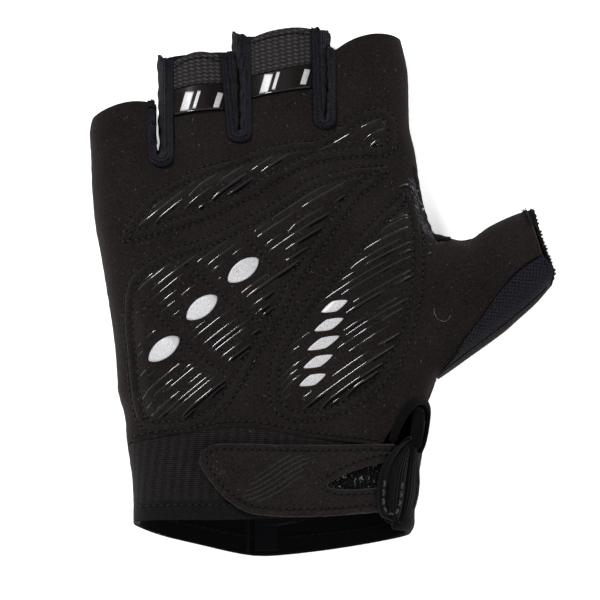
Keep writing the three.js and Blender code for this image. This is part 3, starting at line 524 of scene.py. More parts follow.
def thumb_top(x, y):
    at, across = thumb_place(x, y)
    lower = (across - thumb_lower(at)) * THUMB_WIDTH
    upper = (thumb_upper(at) - across) * THUMB_WIDTH
    crown = THUMB_HEIGHT * thumb_crown(at)
    lost = roll(lower, THUMB_WIDTH / 2, 2.3) + roll(upper, THUMB_WIDTH / 2, 2.3)
    height = mix(crown, np.minimum(SEAM_HEIGHT, crown), np.minimum(lost, 1))
    missing = (lower < -SLACK) | (upper < -SLACK) | (at < thumb_outline["at"][0])
    return np.where(missing, OUTSIDE, height)


def top_height(x, y):
    """Height of the palm side of the skin."""
    hand = hand_top(x, y)
    thumb = thumb_top(x, y)
    high = np.maximum(hand, thumb)
    low = np.minimum(hand, thumb)
    apart = (high - low) / THUMB_BLEND
    rise = np.where(apart < 1, THUMB_BLEND * (1 - apart) ** 2 / 4, 0)
    blended = high + rise * ease(SEAM_HEIGHT, SEAM_HEIGHT + THUMB_BLEND, high)
    return np.where(high == OUTSIDE, SEAM_HEIGHT, np.where(low == OUTSIDE, high, blended))


def back_height(x, y):
    """Height of the back of the skin, flat where it lies on the surface."""
    left = x - hand_left(y)
    right = hand_right(y) - x
    in_hand = (left > -SLACK) & (right > -SLACK)
    width = mix(BACK_ROLL, FINGER_ROLL * 0.8, ease(0.68, 0.8, hand_at(y)))
    lost = np.minimum(roll(left, width, 2.3) + roll(right, width, 2.3), 1)
    hand = np.where(in_hand, SEAM_HEIGHT * lost + BACK_SLIT_RISE * slit_nearness(x, y), SEAM_HEIGHT)
    at, across = thumb_place(x, y)
    lower = (across - thumb_lower(at)) * THUMB_WIDTH
    upper = (thumb_upper(at) - across) * THUMB_WIDTH
    in_thumb = (lower > -SLACK) & (upper > -SLACK) & (at > thumb_outline["at"][1])
    thumb_roll = THUMB_WIDTH * 0.45
    thumb_lost = np.minimum(roll(lower, thumb_roll, 2.3) + roll(upper, thumb_roll, 2.3), 1)
    return np.minimum(hand, np.where(in_thumb, SEAM_HEIGHT * thumb_lost, SEAM_HEIGHT))


def top_normal(x, y):
    d = 0.05
    slope_x = (top_height(x + d, y) - top_height(x - d, y)) / (2 * d)
    slope_y = (top_height(x, y + d) - top_height(x, y - d)) / (2 * d)
    normal = np.stack([-slope_x, -slope_y, np.ones_like(slope_x)], -1)
    return normal / np.linalg.norm(normal, axis=-1, keepdims=True)


def top_point(x, y, lift=0.0):
    x, y = np.broadcast_arrays(np.asarray(x, float), np.asarray(y, float))
    return np.stack([x, y, top_height(x, y) + lift], -1)


def back_point(x, y, lift=0.0):
    x, y = np.broadcast_arrays(np.asarray(x, float), np.asarray(y, float))
    return np.stack([x, y, back_height(x, y) + lift], -1)


def raised_point(x, y, lift):
    """A point above the palm side of the skin, square to it."""
    x, y = np.broadcast_arrays(np.asarray(x, float), np.asarray(y, float))
    return top_point(x, y) + top_normal(x, y) * np.asarray(lift)[..., None]


# The two sides of the hand
def on_seam(x, y):
    return top_height(x, y) - SEAM_HEIGHT < 1e-4


def palm_point(x, y):
    points = top_point(x, y)
    points[..., 2] += np.where(on_seam(points[..., 0], points[..., 1]), SEAM_GAP / 2, 0)
    return points


def back_side_point(x, y):
    points = back_point(x, y)
    points[..., 2] -= np.where(on_seam(points[..., 0], points[..., 1]), SEAM_GAP / 2, 0)
    return points


palm_side = {"wrist": 6, "thumb": 8, "knuckles": 5, "slit": palm_slit, "floor": slits["at"],
             "tip": finger_tip, "point": palm_point}
back_side = {"wrist": 2, "thumb": 6, "knuckles": 4, "slit": back_slit, "floor": slits["back_at"],
             "tip": finger_back_tip, "point": back_side_point}


def finer(shares, times):
    """Shares with every step between two of them divided again."""
    marks = np.arange(len(shares))
    return np.interp(np.arange((len(shares) - 1) * times + 1) / times, marks, shares)


def cosine(t):
    return (1 - np.cos(np.pi * t)) / 2


ROLLED = (0, 0.008, 0.04, 0.12, 0.26, 0.46, 0.72, 1)
EVEN = (0, 0.2, 0.4, 0.6, 0.8, 1)
MIRRORED = tuple(1 - s for s in reversed(ROLLED))
finger_shares = (ROLLED, EVEN, EVEN, MIRRORED)
THUMB_STEPS = 8
SLIT_COLUMNS = 10  # cells round a slit's floor

thumb_low = (float(hand_right(along_hand(THUMB_ROWS_LOW))), along_hand(THUMB_ROWS_LOW))
thumb_high = (float(hand_right(along_hand(THUMB_ROWS_HIGH))), along_hand(THUMB_ROWS_HIGH))


def right_edge(side, lower_part, times):
    """The hand's right edge: its lower part, the line shared with the thumb, the index finger."""
    xs, ys = [lower_part[0]], [lower_part[1]]
    count = np.arange(side["thumb"] * times) / (side["thumb"] * times)
    xs.append(mix(thumb_low[0], thumb_high[0], cosine(count)))
    ys.append(mix(thumb_low[1], thumb_high[1], cosine(count)))
    rows = np.arange(side["knuckles"] * times + 1) / (side["knuckles"] * times)
    high = along_hand(mix(THUMB_ROWS_HIGH, RIGHT_EDGE_TOP, rows))
    xs.append(hand_right(high))
    ys.append(high)
    return np.concatenate(xs), np.concatenate(ys)


def lower_edge(xs, ys, times):
    """A run of points finely divided, up to but without the thumb's lower corner."""
    xs = np.append(xs, thumb_low[0])
    ys = np.append(ys, thumb_low[1])
    marks = np.arange(len(xs))
    at = np.arange((len(xs) - 1) * times) / times
    return np.interp(at, marks, xs), np.interp(at, marks, ys)


def hand_grid(side, left_wrist, slit_wrist, right, times):
    """Rows of points over the hand, from the wrist seam to the slits' floors."""
    right_x, right_y = right
    v = np.arange(len(right_x)) / (len(right_x) - 1)
    from_y = along_hand(mix(left_wrist, LEFT_EDGE_SLITS, v))
    from_x = hand_left(from_y)
    xs, ys = [], []
    u = np.arange(1, SLIT_COLUMNS) / SLIT_COLUMNS
    round_floor = 1 - np.sqrt(1 - (2 * u - 1) ** 2)
    for k in range(3):
        y = along_hand(mix(slit_wrist[k], side["floor"][k], v))
        corner = SLIT_ROUND * ease(0.93, 1, v)
        a_x = side["slit"](k, y + corner)[0]
        c_x = side["slit"](k, y + corner)[1]
        shares = finer(finger_shares[k], times)
        xs.append(mix(from_x[:, None], a_x[:, None], shares))
        ys.append(mix(from_y[:, None], (y + corner)[:, None], shares))
        xs.append(mix(a_x[:, None], c_x[:, None], u))
        ys.append(y[:, None] + corner[:, None] * round_floor)
        from_x, from_y = c_x, y + corner
    shares = finer(finger_shares[3], times)
    xs.append(mix(from_x[:, None], right_x[:, None], shares))
    ys.append(mix(from_y[:, None], right_y[:, None], shares))
    return side["point"](np.concatenate(xs, 1), np.concatenate(ys, 1))


def line3(line, t):
    """A line through its left, middle and right marks, read at a share of its way."""
    bow = line[1] - (line[0] + line[2]) / 2
    return mix(line[0], line[2], t) + bow * 4 * t * (1 - t)


def floor_line(side, k):
    """The row at the slits' floors as a finger sees it."""
    corner = SLIT_ROUND / GLOVE_LENGTH
    left = LEFT_EDGE_SLITS if k == 0 else side["floor"][k - 1] + corner
    right = RIGHT_EDGE_TOP if k == 3 else side["floor"][k] + corner
    return left, (left + right) / 2, right


def finger_grid(side, k, start, end, count, times, point=None, inset=0.0):
    """Rows of points over one finger, between two of its lines."""
    shares = finer(finger_shares[k], times)
    rows = []
    for j in range(count + 1):
        v = j / count
        line = [along_hand(mix(a, b, v)) + inset * (1 - v) for a, b in zip(start, end)]
        left = hand_left(line[0]) if k == 0 else side["slit"](k - 1, line[0])[1]
        right = hand_right(line[2]) if k == 3 else side["slit"](k, line[2])[0]
        x = mix(left, right, shares)
        rows.append((point or side["point"])(x, line3(line, shares)))
    return np.array(rows)


root_lower = thumb_point(THUMB_LOWER_ROOT, thumb_lower(THUMB_LOWER_ROOT))
root_upper = thumb_point(THUMB_UPPER_ROOT, thumb_upper(THUMB_UPPER_ROOT))


def thumb_edges(a):
    """The thumb's two edges, from the line that it shares with the hand to its open end."""
    settle = 1 - ease(0, 0.35, a)
    lower_at = mix(THUMB_LOWER_ROOT, THUMB_LOWER_TIP, a)
    upper_at = mix(THUMB_UPPER_ROOT, THUMB_UPPER_TIP, a)
    lower = thumb_point(lower_at, thumb_lower(lower_at))
    upper = thumb_point(upper_at, thumb_upper(upper_at))
    return ((lower[0] + (thumb_low[0] - root_lower[0]) * settle,
             lower[1] + (thumb_low[1] - root_lower[1]) * settle),
            (upper[0] + (thumb_high[0] - root_upper[0]) * settle,
             upper[1] + (thumb_high[1] - root_upper[1]) * settle))


def on_thumb_at(a, c):
    """A place on the thumb: the way along it from the hand, and the way across it."""
    lower, upper = thumb_edges(a)
    return mix(lower[0], upper[0], c), mix(lower[1], upper[1], c)


# Where each of the thumb's cloths stops, by the way across it
def thumb_corner(c):
    return THUMB_CORNER * np.clip(1 - c / THUMB_CORNER_REACH, 0, 1) ** 2


def suede_end(c):
    return THUMB_PALM_END + 0 * c


def mesh_end(c):
    return THUMB_MESH_END + MESH_TONGUE * (1 - ease(0.1, 0.38, c)) - thumb_corner(c)


def back_end(c):
    return THUMB_BACK_END - thumb_corner(c)


def thumb_grid(start, end, count, ways, share, point):
    """Rows along the thumb, where share(t, a) is the way across it and end(c) where a row stops."""
    rows = []
    for t in ways:
        a = mix(start, end(share(t, 1.0)), np.arange(count + 1) / count)
        rows.append(point(*on_thumb_at(a, share(t, a))))
    return np.array(rows)


# Relief of the soft palm: broad hollows and puckers that the flat tables leave out
def waves(x, y, length, seed):
    """Gentle undulation between -1 and 1, with humps about one length across."""
    turn = np.arange(4) * 1.9 + seed
    total = 0.0
    for k in range(4):
        bend = np.sin(y / length * 0.7 + turn[k] * 3) * 0.8
        total = total + np.sin((x * np.cos(turn[k]) + y * np.sin(turn[k])) * 2 / length + bend + seed * k)
    return total / 4


# Hollows of the palm: centre, reach along and across, turn, and depth
palm_dents = (
    (25.0, -33.0, 9.0, 4.0, 60, 1.6),
    (33.0, -6.0, 12.0, 4.0, 40, 0.7),
    (40.0, 3.0, 9.0, 3.5, 75, 0.8),
    (-5.0, -37.0, 16.0, 4.0, 5, 0.7),
    (-48.0, 47.0, 9.0, 5.0, 70, 0.6),
    (-35.0, 46.0, 10.0, 4.0, 100, 0.5),
    (8.0, 50.0, 9.0, 4.0, 100, 0.6),
    (-62.0, 0.0, 14.0, 4.0, 88, 0.5),
    (48.0, -2.0, 9.0, 3.0, 20, 0.5),
)


def along_and_across(x, y, cx, cy, turn):
    """A place seen from a centre, along and across a line turned by some degrees."""
    c, s = math.cos(math.radians(turn)), math.sin(math.radians(turn))
    return (x - cx) * c + (y - cy) * s, (y - cy) * c - (x - cx) * s


def dents(x, y):
    total = 0.0
    for cx, cy, along, across, turn, depth in palm_dents:
        u, v = along_and_across(x, y, cx, cy, turn)
        total = total + depth * np.exp(-((u / along) ** 2 + (v / across) ** 2))
    return total


def palm_relief(x, y):
    inward = ease(SEAM_HEIGHT + 0.5, SEAM_HEIGHT + 5, top_height(x, y))
    soft = 0.28 * waves(x, y, 11, 0.4) + 0.12 * waves(x, y, 4.6, 2.1)
    return (soft - dents(x, y)) * inward


# Modelling helpers
def pick(*pieces):
    bpy.ops.object.select_all(action="DESELECT")
    for piece in pieces:
        piece.select_set(True)
    bpy.context.view_layer.objects.active = pieces[0]


def lay_grid(name, points, flip=False):
    """A grid whose points are laid at the given places, rows by columns, with its UVs in centimetres."""
    rows, columns = points.shape[:2]
    bpy.ops.object.select_all(action="DESELECT")
    bpy.ops.mesh.primitive_grid_add(x_subdivisions=columns - 1, y_subdivisions=rows - 1, size=1)
    piece = bpy.context.object
    piece.name = name
    mesh = piece.data
    mesh.vertices.foreach_set("co", (points.reshape(-1, 3) * MM).ravel())
    along = np.linalg.norm(np.diff(points, axis=1), axis=2)
    up = np.linalg.norm(np.diff(points, axis=0), axis=2)
    u = np.concatenate([np.zeros((rows, 1)), np.cumsum(along, 1)], 1)
    v = np.concatenate([np.zeros((1, columns)), np.cumsum(up, 0)], 0)
    corner = np.empty(len(mesh.loops), int)
    mesh.loops.foreach_get("vertex_index", corner)
    flat = np.stack([(u - u[:, -1:] / 2).ravel()[corner], v.ravel()[corner]], -1) / 10
    mesh.uv_layers[0].data.foreach_set("uv", flat.ravel())
    if flip:
        mesh.flip_normals()
    mesh.update()
    return piece


def weld(gap, outward=False):
    """Points of the active piece joined across a gap, and its faces turned outwards where it is closed."""
    bpy.ops.object.mode_set(mode="EDIT")
    bpy.ops.mesh.select_all(action="SELECT")
    if gap:
        bpy.ops.mesh.remove_doubles(threshold=gap * MM)
    if outward:
        bpy.ops.mesh.normals_make_consistent(inside=False)
    bpy.ops.object.mode_set(mode="OBJECT")


def sew(name, grids, wall, edge=0.28, flip=False):
    """Grids joined at their shared borders into one cloth with a wall and rounded edges."""
    parts = [lay_grid(f"{name}_{i}", grid, flip) for i, grid in enumerate(grids)]
    pick(*parts)
    if len(parts) > 1:
        bpy.ops.object.join()
    cloth = bpy.context.object
    cloth.name = cloth.data.name = name
    weld(0.01)
    if wall:
        solid = cloth.modifiers.new("wall", "SOLIDIFY")
        solid.thickness = wall * MM
        solid.offset = -1
        bpy.ops.object.modifier_apply(modifier=solid.name)
    if wall and edge:
        round_edges = cloth.modifiers.new("cut edges", "BEVEL")
        round_edges.width = edge * MM
        round_edges.segments = 2
        round_edges.limit_method = "ANGLE"
        round_edges.angle_limit = math.radians(50)
        bpy.ops.object.modifier_apply(modifier=round_edges.name)
    bpy.ops.object.shade_smooth()
    return cloth


def dress(piece, material, nodes=()):
    """A finished piece: its material, the body that it rides on and the CAD nodes it stands for."""
    piece.data.materials.clear()
    piece.data.materials.append(material)
    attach(piece, "root")
    if nodes:
        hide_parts(*nodes)
    return piece


class Carrier:
    """Finished pieces that take stitches and prints: points are dropped on to them from above."""

    def __init__(self, *pieces):
        verts, faces = [], []
        for piece in pieces:
            start = len(verts)
            verts += [v.co.copy() for v in piece.data.vertices]
            faces += [[start + i for i in p.vertices] for p in piece.data.polygons]
        self.tree = BVHTree.FromPolygons(verts, faces)

    def drop(self, x, y, lift=0.0):
        """The highest place over x and y, in millimetres, lifted square to the cloth."""
        hit, normal, _, _ = self.tree.ray_cast(Vector((x, y, ABOVE)) * MM, Vector((0, 0, -1)))
        if hit is None:
            return None
        if normal.z < 0:
            normal = -normal
        return np.array(hit) / MM + np.array(normal) * lift


def laid_on(carrier, places, lift):
    """Places dropped on to a carrier, or none of them where one misses it."""
    points = [carrier.drop(x, y, lift) for x, y in places]
    return points if all(point is not None for point in points) else []


def even_steps(path, pitch):
    """A path's points at an even pitch along it."""
    path = np.asarray(path, float)
    run = np.concatenate([[0], np.cumsum(np.linalg.norm(np.diff(path, axis=0), axis=1))])
    count = max(2, int(round(run[-1] / pitch)))
    at = np.linspace(0, run[-1], count + 1)
    return np.stack([np.interp(at, run, path[:, i]) for i in range(path.shape[1])], -1)


def smooth_path(points, pitch=0.8):
    """A curve through a few chosen points of x and y."""
    points = np.asarray(points, float)
    rows = {"t": np.arange(len(points), dtype=float), "x": points[:, 0], "y": points[:, 1]}
    t = np.linspace(0, len(points) - 1, len(points) * 12)
    return even_steps(np.stack([column(rows, "t", "x")(t), column(rows, "t", "y")(t)], -1), pitch)


def relax(path, times):
    """A path whose points, apart from its ends, are drawn towards their neighbours a few times."""
    for _ in range(times):
        path[1:-1] = (path[:-2] + 2 * path[1:-1] + path[2:]) / 4
    return path


def inset_path(path, distance):
    """A path shifted to its left by a distance."""
    path = np.asarray(path, float)
    ahead = np.roll(path, -1, 0) - np.roll(path, 1, 0)
    if np.linalg.norm(path[0] - path[-1]) > 1e-6:
        ahead[0] = path[1] - path[0]
        ahead[-1] = path[-1] - path[-2]
    ahead /= np.maximum(np.linalg.norm(ahead, axis=1, keepdims=True), 1e-9)
    return path + np.stack([-ahead[:, 1], ahead[:, 0]], -1) * distance


def tubes(name, paths, radius, sides=2):
    """Many short round runs as one mesh; each path is a list of points and their shares of the radius."""
    curve = bpy.data.curves.new(name, "CURVE")
    curve.dimensions = "3D"
    curve.bevel_depth = radius * MM
    curve.bevel_resolution = sides
    curve.use_fill_caps = True
    for points, shares in paths:
        spline = curve.splines.new("POLY")
        spline.points.add(len(points) - 1)
        flat = np.concatenate([np.asarray(points) * MM, np.ones((len(points), 1))], 1)
        spline.points.foreach_set("co", flat.ravel())
        spline.points.foreach_set("radius", np.asarray(shares, float))
    piece = bpy.data.objects.new(name, curve)
    bpy.context.scene.collection.objects.link(piece)
    pick(piece)
    bpy.ops.object.convert(target="MESH")
    piece = bpy.context.object
    bpy.ops.object.shade_smooth()
    return piece


def stitches(path, carrier, pitch=2.0, fill=0.74, sink=0.16, rise=0.14, wobble=0.0):
    """Stitches along a path of x and y: each dips into the cloth at its ends and stands up between."""
    marks = even_steps(path, pitch)
    found = []
    for a, b in zip(marks[:-1], marks[1:]):
        side = np.array([-(b - a)[1], (b - a)[0]]) / max(np.linalg.norm(b - a), 1e-9)
        slip = side * chance.uniform(-wobble, wobble)
        points = []
        for share, lift in ((0, -sink), (0.25, rise * 0.7), (0.5, rise), (0.75, rise * 0.7), (1, -sink)):
            place = mix(a, b, 0.5 + (share - 0.5) * fill) + slip
            point = carrier.drop(place[0], place[1], lift)
            if point is None:
                break
            points.append(point)
        if len(points) == 5:
            found.append((points, (0.6, 1, 1, 1, 0.6)))
    return found


# Cloth pieces of the hand
def palm_suede():
    times = 4
    lower = lower_edge(across_hand(keyhole["x"]), along_hand(keyhole["at"]), times)
    grids = [hand_grid(palm_side, LEFT_EDGE_WRIST, slits["wrist_at"],
                       right_edge(palm_side, lower, times), times)]
    for k, finger in enumerate(FINGERS):
        end = band_start.get(finger, finger_tip[finger])
        grids.append(finger_grid(palm_side, k, floor_line(palm_side, k), end, 14, times))
    ways = cosine(np.arange(palm_side["thumb"] * times + 1) / (palm_side["thumb"] * times))
    border = lambda t, a: mix(np.maximum(mesh_top(a), 0), 1, t)
    grids.append(thumb_grid(0, suede_end, THUMB_STEPS * times, ways, border, palm_side["point"]))
    for grid in grids:
        grid[..., 2] += palm_relief(grid[..., 0], grid[..., 1])
    return sew("palm_suede", grids, SUEDE_WALL)


def back_jersey():
    times = 3
    steps = np.arange(back_side["wrist"]) / back_side["wrist"]
    low = along_hand(mix(BACK_WRIST_AT, THUMB_ROWS_LOW, steps))
    lower = lower_edge(hand_right(low), low, times)
    grids = [hand_grid(back_side, BACK_WRIST_AT, [BACK_WRIST_AT] * 3,
                       right_edge(back_side, lower, times), times)]
    for k, finger in enumerate(FINGERS):
        end = finger_back_tip[finger]
        grids.append(finger_grid(back_side, k, floor_line(back_side, k), end, 12, times))
    return sew("back_jersey", grids, BACK_WALL, flip=True)


def finger_panel(name, k, start, end, rows, wall, proud, pillow=0.0):
    """A strip across a finger between two of its lines, a little rounded from edge to edge."""
    shares = finer(finger_shares[k], 5)

    def point(x, y):
        rounded = 1 - (2 * shares - 1) ** 6
        return top_point(x, y, proud + pillow * rounded)

    return sew(name, [finger_grid(palm_side, k, start, end, rows, 5, point, SEAM_GAP)], wall)


def slit_path(side, k, count):
    """The U of points along a slit's edge, from one finger's edge down round the floor and up."""
    floor = along_hand(side["floor"][k])
    left_top = along_hand(side["tip"][FINGERS[k]][2])
    right_top = along_hand(side["tip"][FINGERS[k + 1]][0])
    corner = floor + SLIT_ROUND
    down = mix(left_top, corner, np.arange(count) / count)
    up = mix(corner, right_top, np.arange(1, count + 1) / count)
    turn = np.linspace(0, np.pi, SLIT_COLUMNS + 1)
    left, right = float(side["slit"](k, corner)[0]), float(side["slit"](k, corner)[1])
    x = np.concatenate([side["slit"](k, down)[0], (left + right) / 2 - (right - left) / 2 * np.cos(turn),
                        side["slit"](k, up)[1]])
    y = np.concatenate([down, corner - SLIT_ROUND * np.sin(turn), up])
    return x, y


def leftwards(x, y):
    """The way square to a path and to its left, at each of its points."""
    away = np.stack([-np.gradient(y), np.gradient(x)], -1)
    return away / np.linalg.norm(away, axis=1, keepdims=True)


def gusset_name(k):
    return f"gusset_{FINGERS[k]}_{FINGERS[k + 1]}"


gusset_folds = (0.35, 2.1, 0.2)  # how far each gusset's right leg folds over at its open end
gusset_bulges = ((0.1, 1.1), (1.1, 1.0), (1.7, 0.5))  # how far each one's left and right leg bulge


def gusset(k):
    """The stretch gusset of a slit: it rolls out of the palm's edge, bulges into the slit and goes down."""
    palm_x, palm_y = slit_path(palm_side, k, 64)
    back_x, back_y = slit_path(back_side, k, 64)
    palm_away, back_away = leftwards(palm_x, palm_y), leftwards(back_x, back_y)
    start = palm_side["point"](palm_x, palm_y)
    end = back_side["point"](back_x, back_y)
    start[:, 2] -= GUSSET_INSET
    end[:, 2] += GUSSET_INSET
    run = np.arange(len(palm_x)) / (len(palm_x) - 1)
    folded = gusset_folds[k] * ease(0.8, 0.94, run)
    left_bulge, right_bulge = gusset_bulges[k]
    floor_bulge = (left_bulge + right_bulge) / 2
    bulge = mix(mix(left_bulge, floor_bulge, ease(0.3, 0.45, run)), right_bulge, ease(0.55, 0.7, run))
    ends = np.minimum(run, 1 - run)
    frayed = np.exp(-(ends / 0.004) ** 2)
    rows = []
    for t in np.linspace(0, 1, 33):
        out, down = math.sin(math.pi / 2 * t), 1 - math.cos(math.pi / 2 * t)
        away = mix(palm_away, back_away, t)
        away /= np.linalg.norm(away, axis=1, keepdims=True)
        soft = 0.16 * np.sin(run * 43 + 7 * t + k) + 0.12 * np.sin(run * 91 - 5 * t + 2 * k)
        puffed = math.sin(math.pi * t)
        offset = mix(0.1, 0.35, t) + bulge * puffed ** 0.8 + (soft + folded) * puffed
        row = start + (end - start) * [out, out, down]
        row[:, :2] += away * offset[:, None]
        row[:, 2] += 0.95 * math.exp(-((t - 0.2) / 0.17) ** 2) + (0.4 * soft + 0.7 * folded) * puffed
        row[:, 1] += frayed * (0.35 * math.sin(t * 41 + k) + 0.25 * math.sin(t * 17))
        rows.append(row)
    return sew(gusset_name(k) + "_lycra", [np.array(rows)], GUSSET_WALL, flip=True)


def thumb_mesh():
    """The mesh strip of the thumb: lapped over the back's edge and tucked under the suede's."""
    share = lambda t, a: mix(back_top(a) - 0.008, mesh_top(a) + 0.03, t)
    ways = np.linspace(0, 1, 25)
    grid = thumb_grid(0.03, mesh_end, 60, ways, share, palm_side["point"])
    tuck = mix(0.42, -0.75, ease(0.78, 1, ways))
    grid[..., 2] += tuck[:, None]
    return sew("thumb_mesh", [grid], MESH_WALL)


def thumb_back():
    """The back of the thumb, which laps round its lower side up to the mesh."""
    around = cosine(np.arange(33) / 32)[::-1]
    under = thumb_grid(THUMB_BACK_START, back_end, 40, around, lambda t, a: t + 0 * a,
                       back_side["point"])
    ways = np.arange(1, 9) / 8
    lap = thumb_grid(THUMB_BACK_START, back_end, 40, ways, lambda t, a: back_top(a) * t, top_point)
    return sew("thumb_back_jersey", [np.concatenate([under, lap])], BACK_WALL)


# Cuff
CUFF_SHARES = (0, 0.01, 0.05, 0.14, 0.28, 0.45, 0.62, 0.8, 1)
UNDER_SHARES = (0, 0.01, 0.05, 0.14, 0.3, 0.5, 0.7, 0.86, 0.95, 0.99, 1)
TURN_SHARES = (0.03, 0.15, 0.4, 0.7, 1)
TURN_ROW = 2
BACK_CUFF_ROWS = 9
GAP_AT = SEAM_GAP / GLOVE_LENGTH
seam_left = float(left_share(LEFT_EDGE_WRIST))
wrist_seam_marks = {
    "across": np.concatenate([[0], (slits["wrist_x"] - seam_left) / (keyhole["x"][0] - seam_left), [1]]),
    "at": np.concatenate([[LEFT_EDGE_WRIST], slits["wrist_at"], [keyhole["at"][0]]]),
}
wrist_seam = column(wrist_seam_marks, "across", "at")


def palm_cuff_grid(top, bottom, rows, lift=None, gather=0.0):
    """Rows over the cuff's palm side, from its bottom line to its top line."""
    shares = finer(CUFF_SHARES, 6)
    grid = []
    for j in range(rows + 1):
        v = j / rows
        at = mix(bottom(shares), top(shares), v)
        y = along_hand(at)
        right = np.minimum(across_hand(cuff_edge_x(at)), hand_right(y))
        x = mix(hand_left(y), right, shares)
        points = palm_side["point"](x, y)
        points[..., 2] += lift(v) if lift else 0
        inward = ease(SEAM_HEIGHT + 0.5, SEAM_HEIGHT + 5, points[..., 2])
        points[..., 2] += gather * waves(x, y * 0.6, 6, 1.3) * inward
        grid.append(points)
    return np.array(grid)


def cuff_knit():
    top = lambda t: wrist_seam(t) - 1.2 * GAP_AT
    bottom = lambda t: palm_hem_top(t) - 3 * GAP_AT
    return sew("cuff_knit_cloth", [palm_cuff_grid(top, bottom, 26, gather=0.3)], KNIT_WALL)


def rolled(v):
    """Lift of a bound edge: a flat fold with round sides."""
    return BINDING_PROUD * (1 - (2 * v - 1) ** 4) + 0.12


def palm_hem_binding():
    return sew("cuff_hem_binding", [palm_cuff_grid(palm_hem_top, palm_hem_bottom, 12, rolled, 0.2)],
               BINDING_WALL, edge=0.7)


def turned_x(at):
    return np.minimum(across_hand(turned_edge_x(at)), hand_right(along_hand(at)) - 0.4)


def back_cuff_grids(top, bottom, rows, swell=None):
    """Rows round the back's cuff and up on to the turned part at its right."""
    under_shares = finer(UNDER_SHARES, 4)
    turn_shares = np.concatenate([[0], TURN_SHARES])
    turn_shares = finer(turn_shares, 4)[1:]
    grid = []
    for j in range(rows + 1):
        v = j / rows
        at = mix(top(under_shares), bottom(under_shares), v)
        y = along_hand(at)
        under = back_side["point"](mix(hand_left(y), hand_right(y), under_shares), y)
        last = float(at[-1])
        right = float(hand_right(along_hand(last)))
        x = mix(right, float(turned_x(last)), turn_shares)
        turned = top_point(x, along_hand(last))
        if swell:
            turned[..., 2] += swell(v)
        grid.append(np.concatenate([under, turned]))
    return np.array(grid), len(under_shares)


def cuff_back():
    """The back's cuff. Its first rows have no turned part, because the thumb joins the hand there."""
    rows = BACK_CUFF_ROWS * 3
    top = lambda t: BACK_WRIST_AT - GAP_AT + 0 * t
    grid, under = back_cuff_grids(top, lambda t: back_hem_top(t) + 0.2 * GAP_AT, rows)
    first = TURN_ROW * 3
    return sew("cuff_back_jersey", [grid[:first + 1, :under], grid[first:]], KNIT_WALL)


def back_hem_binding():
    grid, _ = back_cuff_grids(back_hem_top, back_hem_bottom, 8, rolled)
    return sew("cuff_back_hem", [grid], BINDING_WALL * 0.8, edge=0.6)


def piping(name, path, half_width, half_height, sides=14):
    """A soft roll along a path of points, wider than it is high, closed to a round end at both ends."""
    path = np.asarray(path, float)
    count = len(path)
    ahead = np.gradient(path, axis=0)
    ahead /= np.linalg.norm(ahead, axis=1, keepdims=True)
    side = np.cross(ahead, [0, 0, 1.0])
    side /= np.linalg.norm(side, axis=1, keepdims=True)
    up = np.cross(side, ahead)
    step = np.linalg.norm(np.diff(path, axis=0), axis=1).sum() / (count - 1)
    ends = np.minimum(np.arange(count), np.arange(count)[::-1]) * step
    wide, high = np.broadcast_to(half_width, count), np.broadcast_to(half_height, count)
    close = np.sqrt(np.clip(1 - (1 - np.clip(ends / wide, 0, 1)) ** 2, 0, 1))
    a = np.linspace(0, 2 * np.pi, sides + 1)
    ring = (side[:, None] * (wide * close)[:, None, None] * np.cos(a)[None, :, None]
            + up[:, None] * (high * close)[:, None, None] * np.sin(a)[None, :, None])
    piece = sew(name, [path[:, None] + ring], 0)
    weld(0, outward=True)
    return piece


def join_as(name, *pieces):
    pick(*pieces)
    bpy.ops.object.join()
    piece = bpy.context.object
    piece.name = piece.data.name = name
    return piece


def slit_binding():
    """The keyhole's binding: a thin roll round its outer edge, and the wide leg on its inner side."""
    path = smooth_path(keyhole_roll, 0.45)
    t = np.linspace(0, 1, len(path))
    width = mix(1.3, 0.85, ease(0.35, 0.6, t))
    outer = piping("keyhole_roll", raised_point(path[:, 0], path[:, 1], 0.45), width, 0.75)
    leg_path = smooth_path(keyhole_leg, 0.35)
    t = np.linspace(0, 1, len(leg_path))
    leg = piping("keyhole_leg", raised_point(leg_path[:, 0], leg_path[:, 1], 0.9 + 0.5 * t), 1.95, 0.75, 20)
    return join_as("keyhole_binding", outer, leg)


def flap_place(at, u):
    """A place on the ribbed flap: share of the hand's length, and the way across the flap."""
    x = mix(across_hand(flap_left(at)), across_hand(flap_right(at)), u)
    return x, along_hand(at)


def closure_flap():
    """The leaf of ribbed knit: it comes off the turned-up cuff and laps over the strap's end."""
    at = mix(flap_outline["at"][0], flap_outline["at"][-1], cosine(np.arange(61) / 60))
    u = np.linspace(0, 1, 81)
    x, y = flap_place(at[:, None], u[None, :])
    ribbed = ease(0.2, 0.3, u) * (1 - ease(0.93, 1, u))
    ribs = 0.13 * np.cos(u * 2 * np.pi * 13) * ribbed
    swell = 0.75 * np.exp(-((u - 0.08) / 0.1) ** 2) + 0.35 * np.exp(-((u - 0.86) / 0.08) ** 2)
    hollow = -0.5 * np.exp(-((u - 0.24) / 0.05) ** 2) - 0.55 * np.exp(-((u - 0.72) / 0.05) ** 2)
    lift = mix(STRAP_LIFT + STRAP_WALL + FLAP_WALL, SEAM_GAP + FLAP_WALL, ease(0.3, 0.95, u))
    lift = lift + ribs + swell + hollow - 0.9 * (1 - ease(0, 0.06, u))
    lift = lift[None, :] + 0.2 * waves(x, y, 5, 2.2)
    grid = raised_point(x, np.broadcast_to(y, x.shape), lift)
    return sew("ribbed_flap", [grid], FLAP_WALL, edge=0.4)


# Strap
strap_tip_x = across_hand(STRAP_TIP_X)
strap_tip_y = along_hand(STRAP_TIP_AT)
STRAP_LIFT = LOOP_LIFT + LOOP_WALL + SEAM_GAP


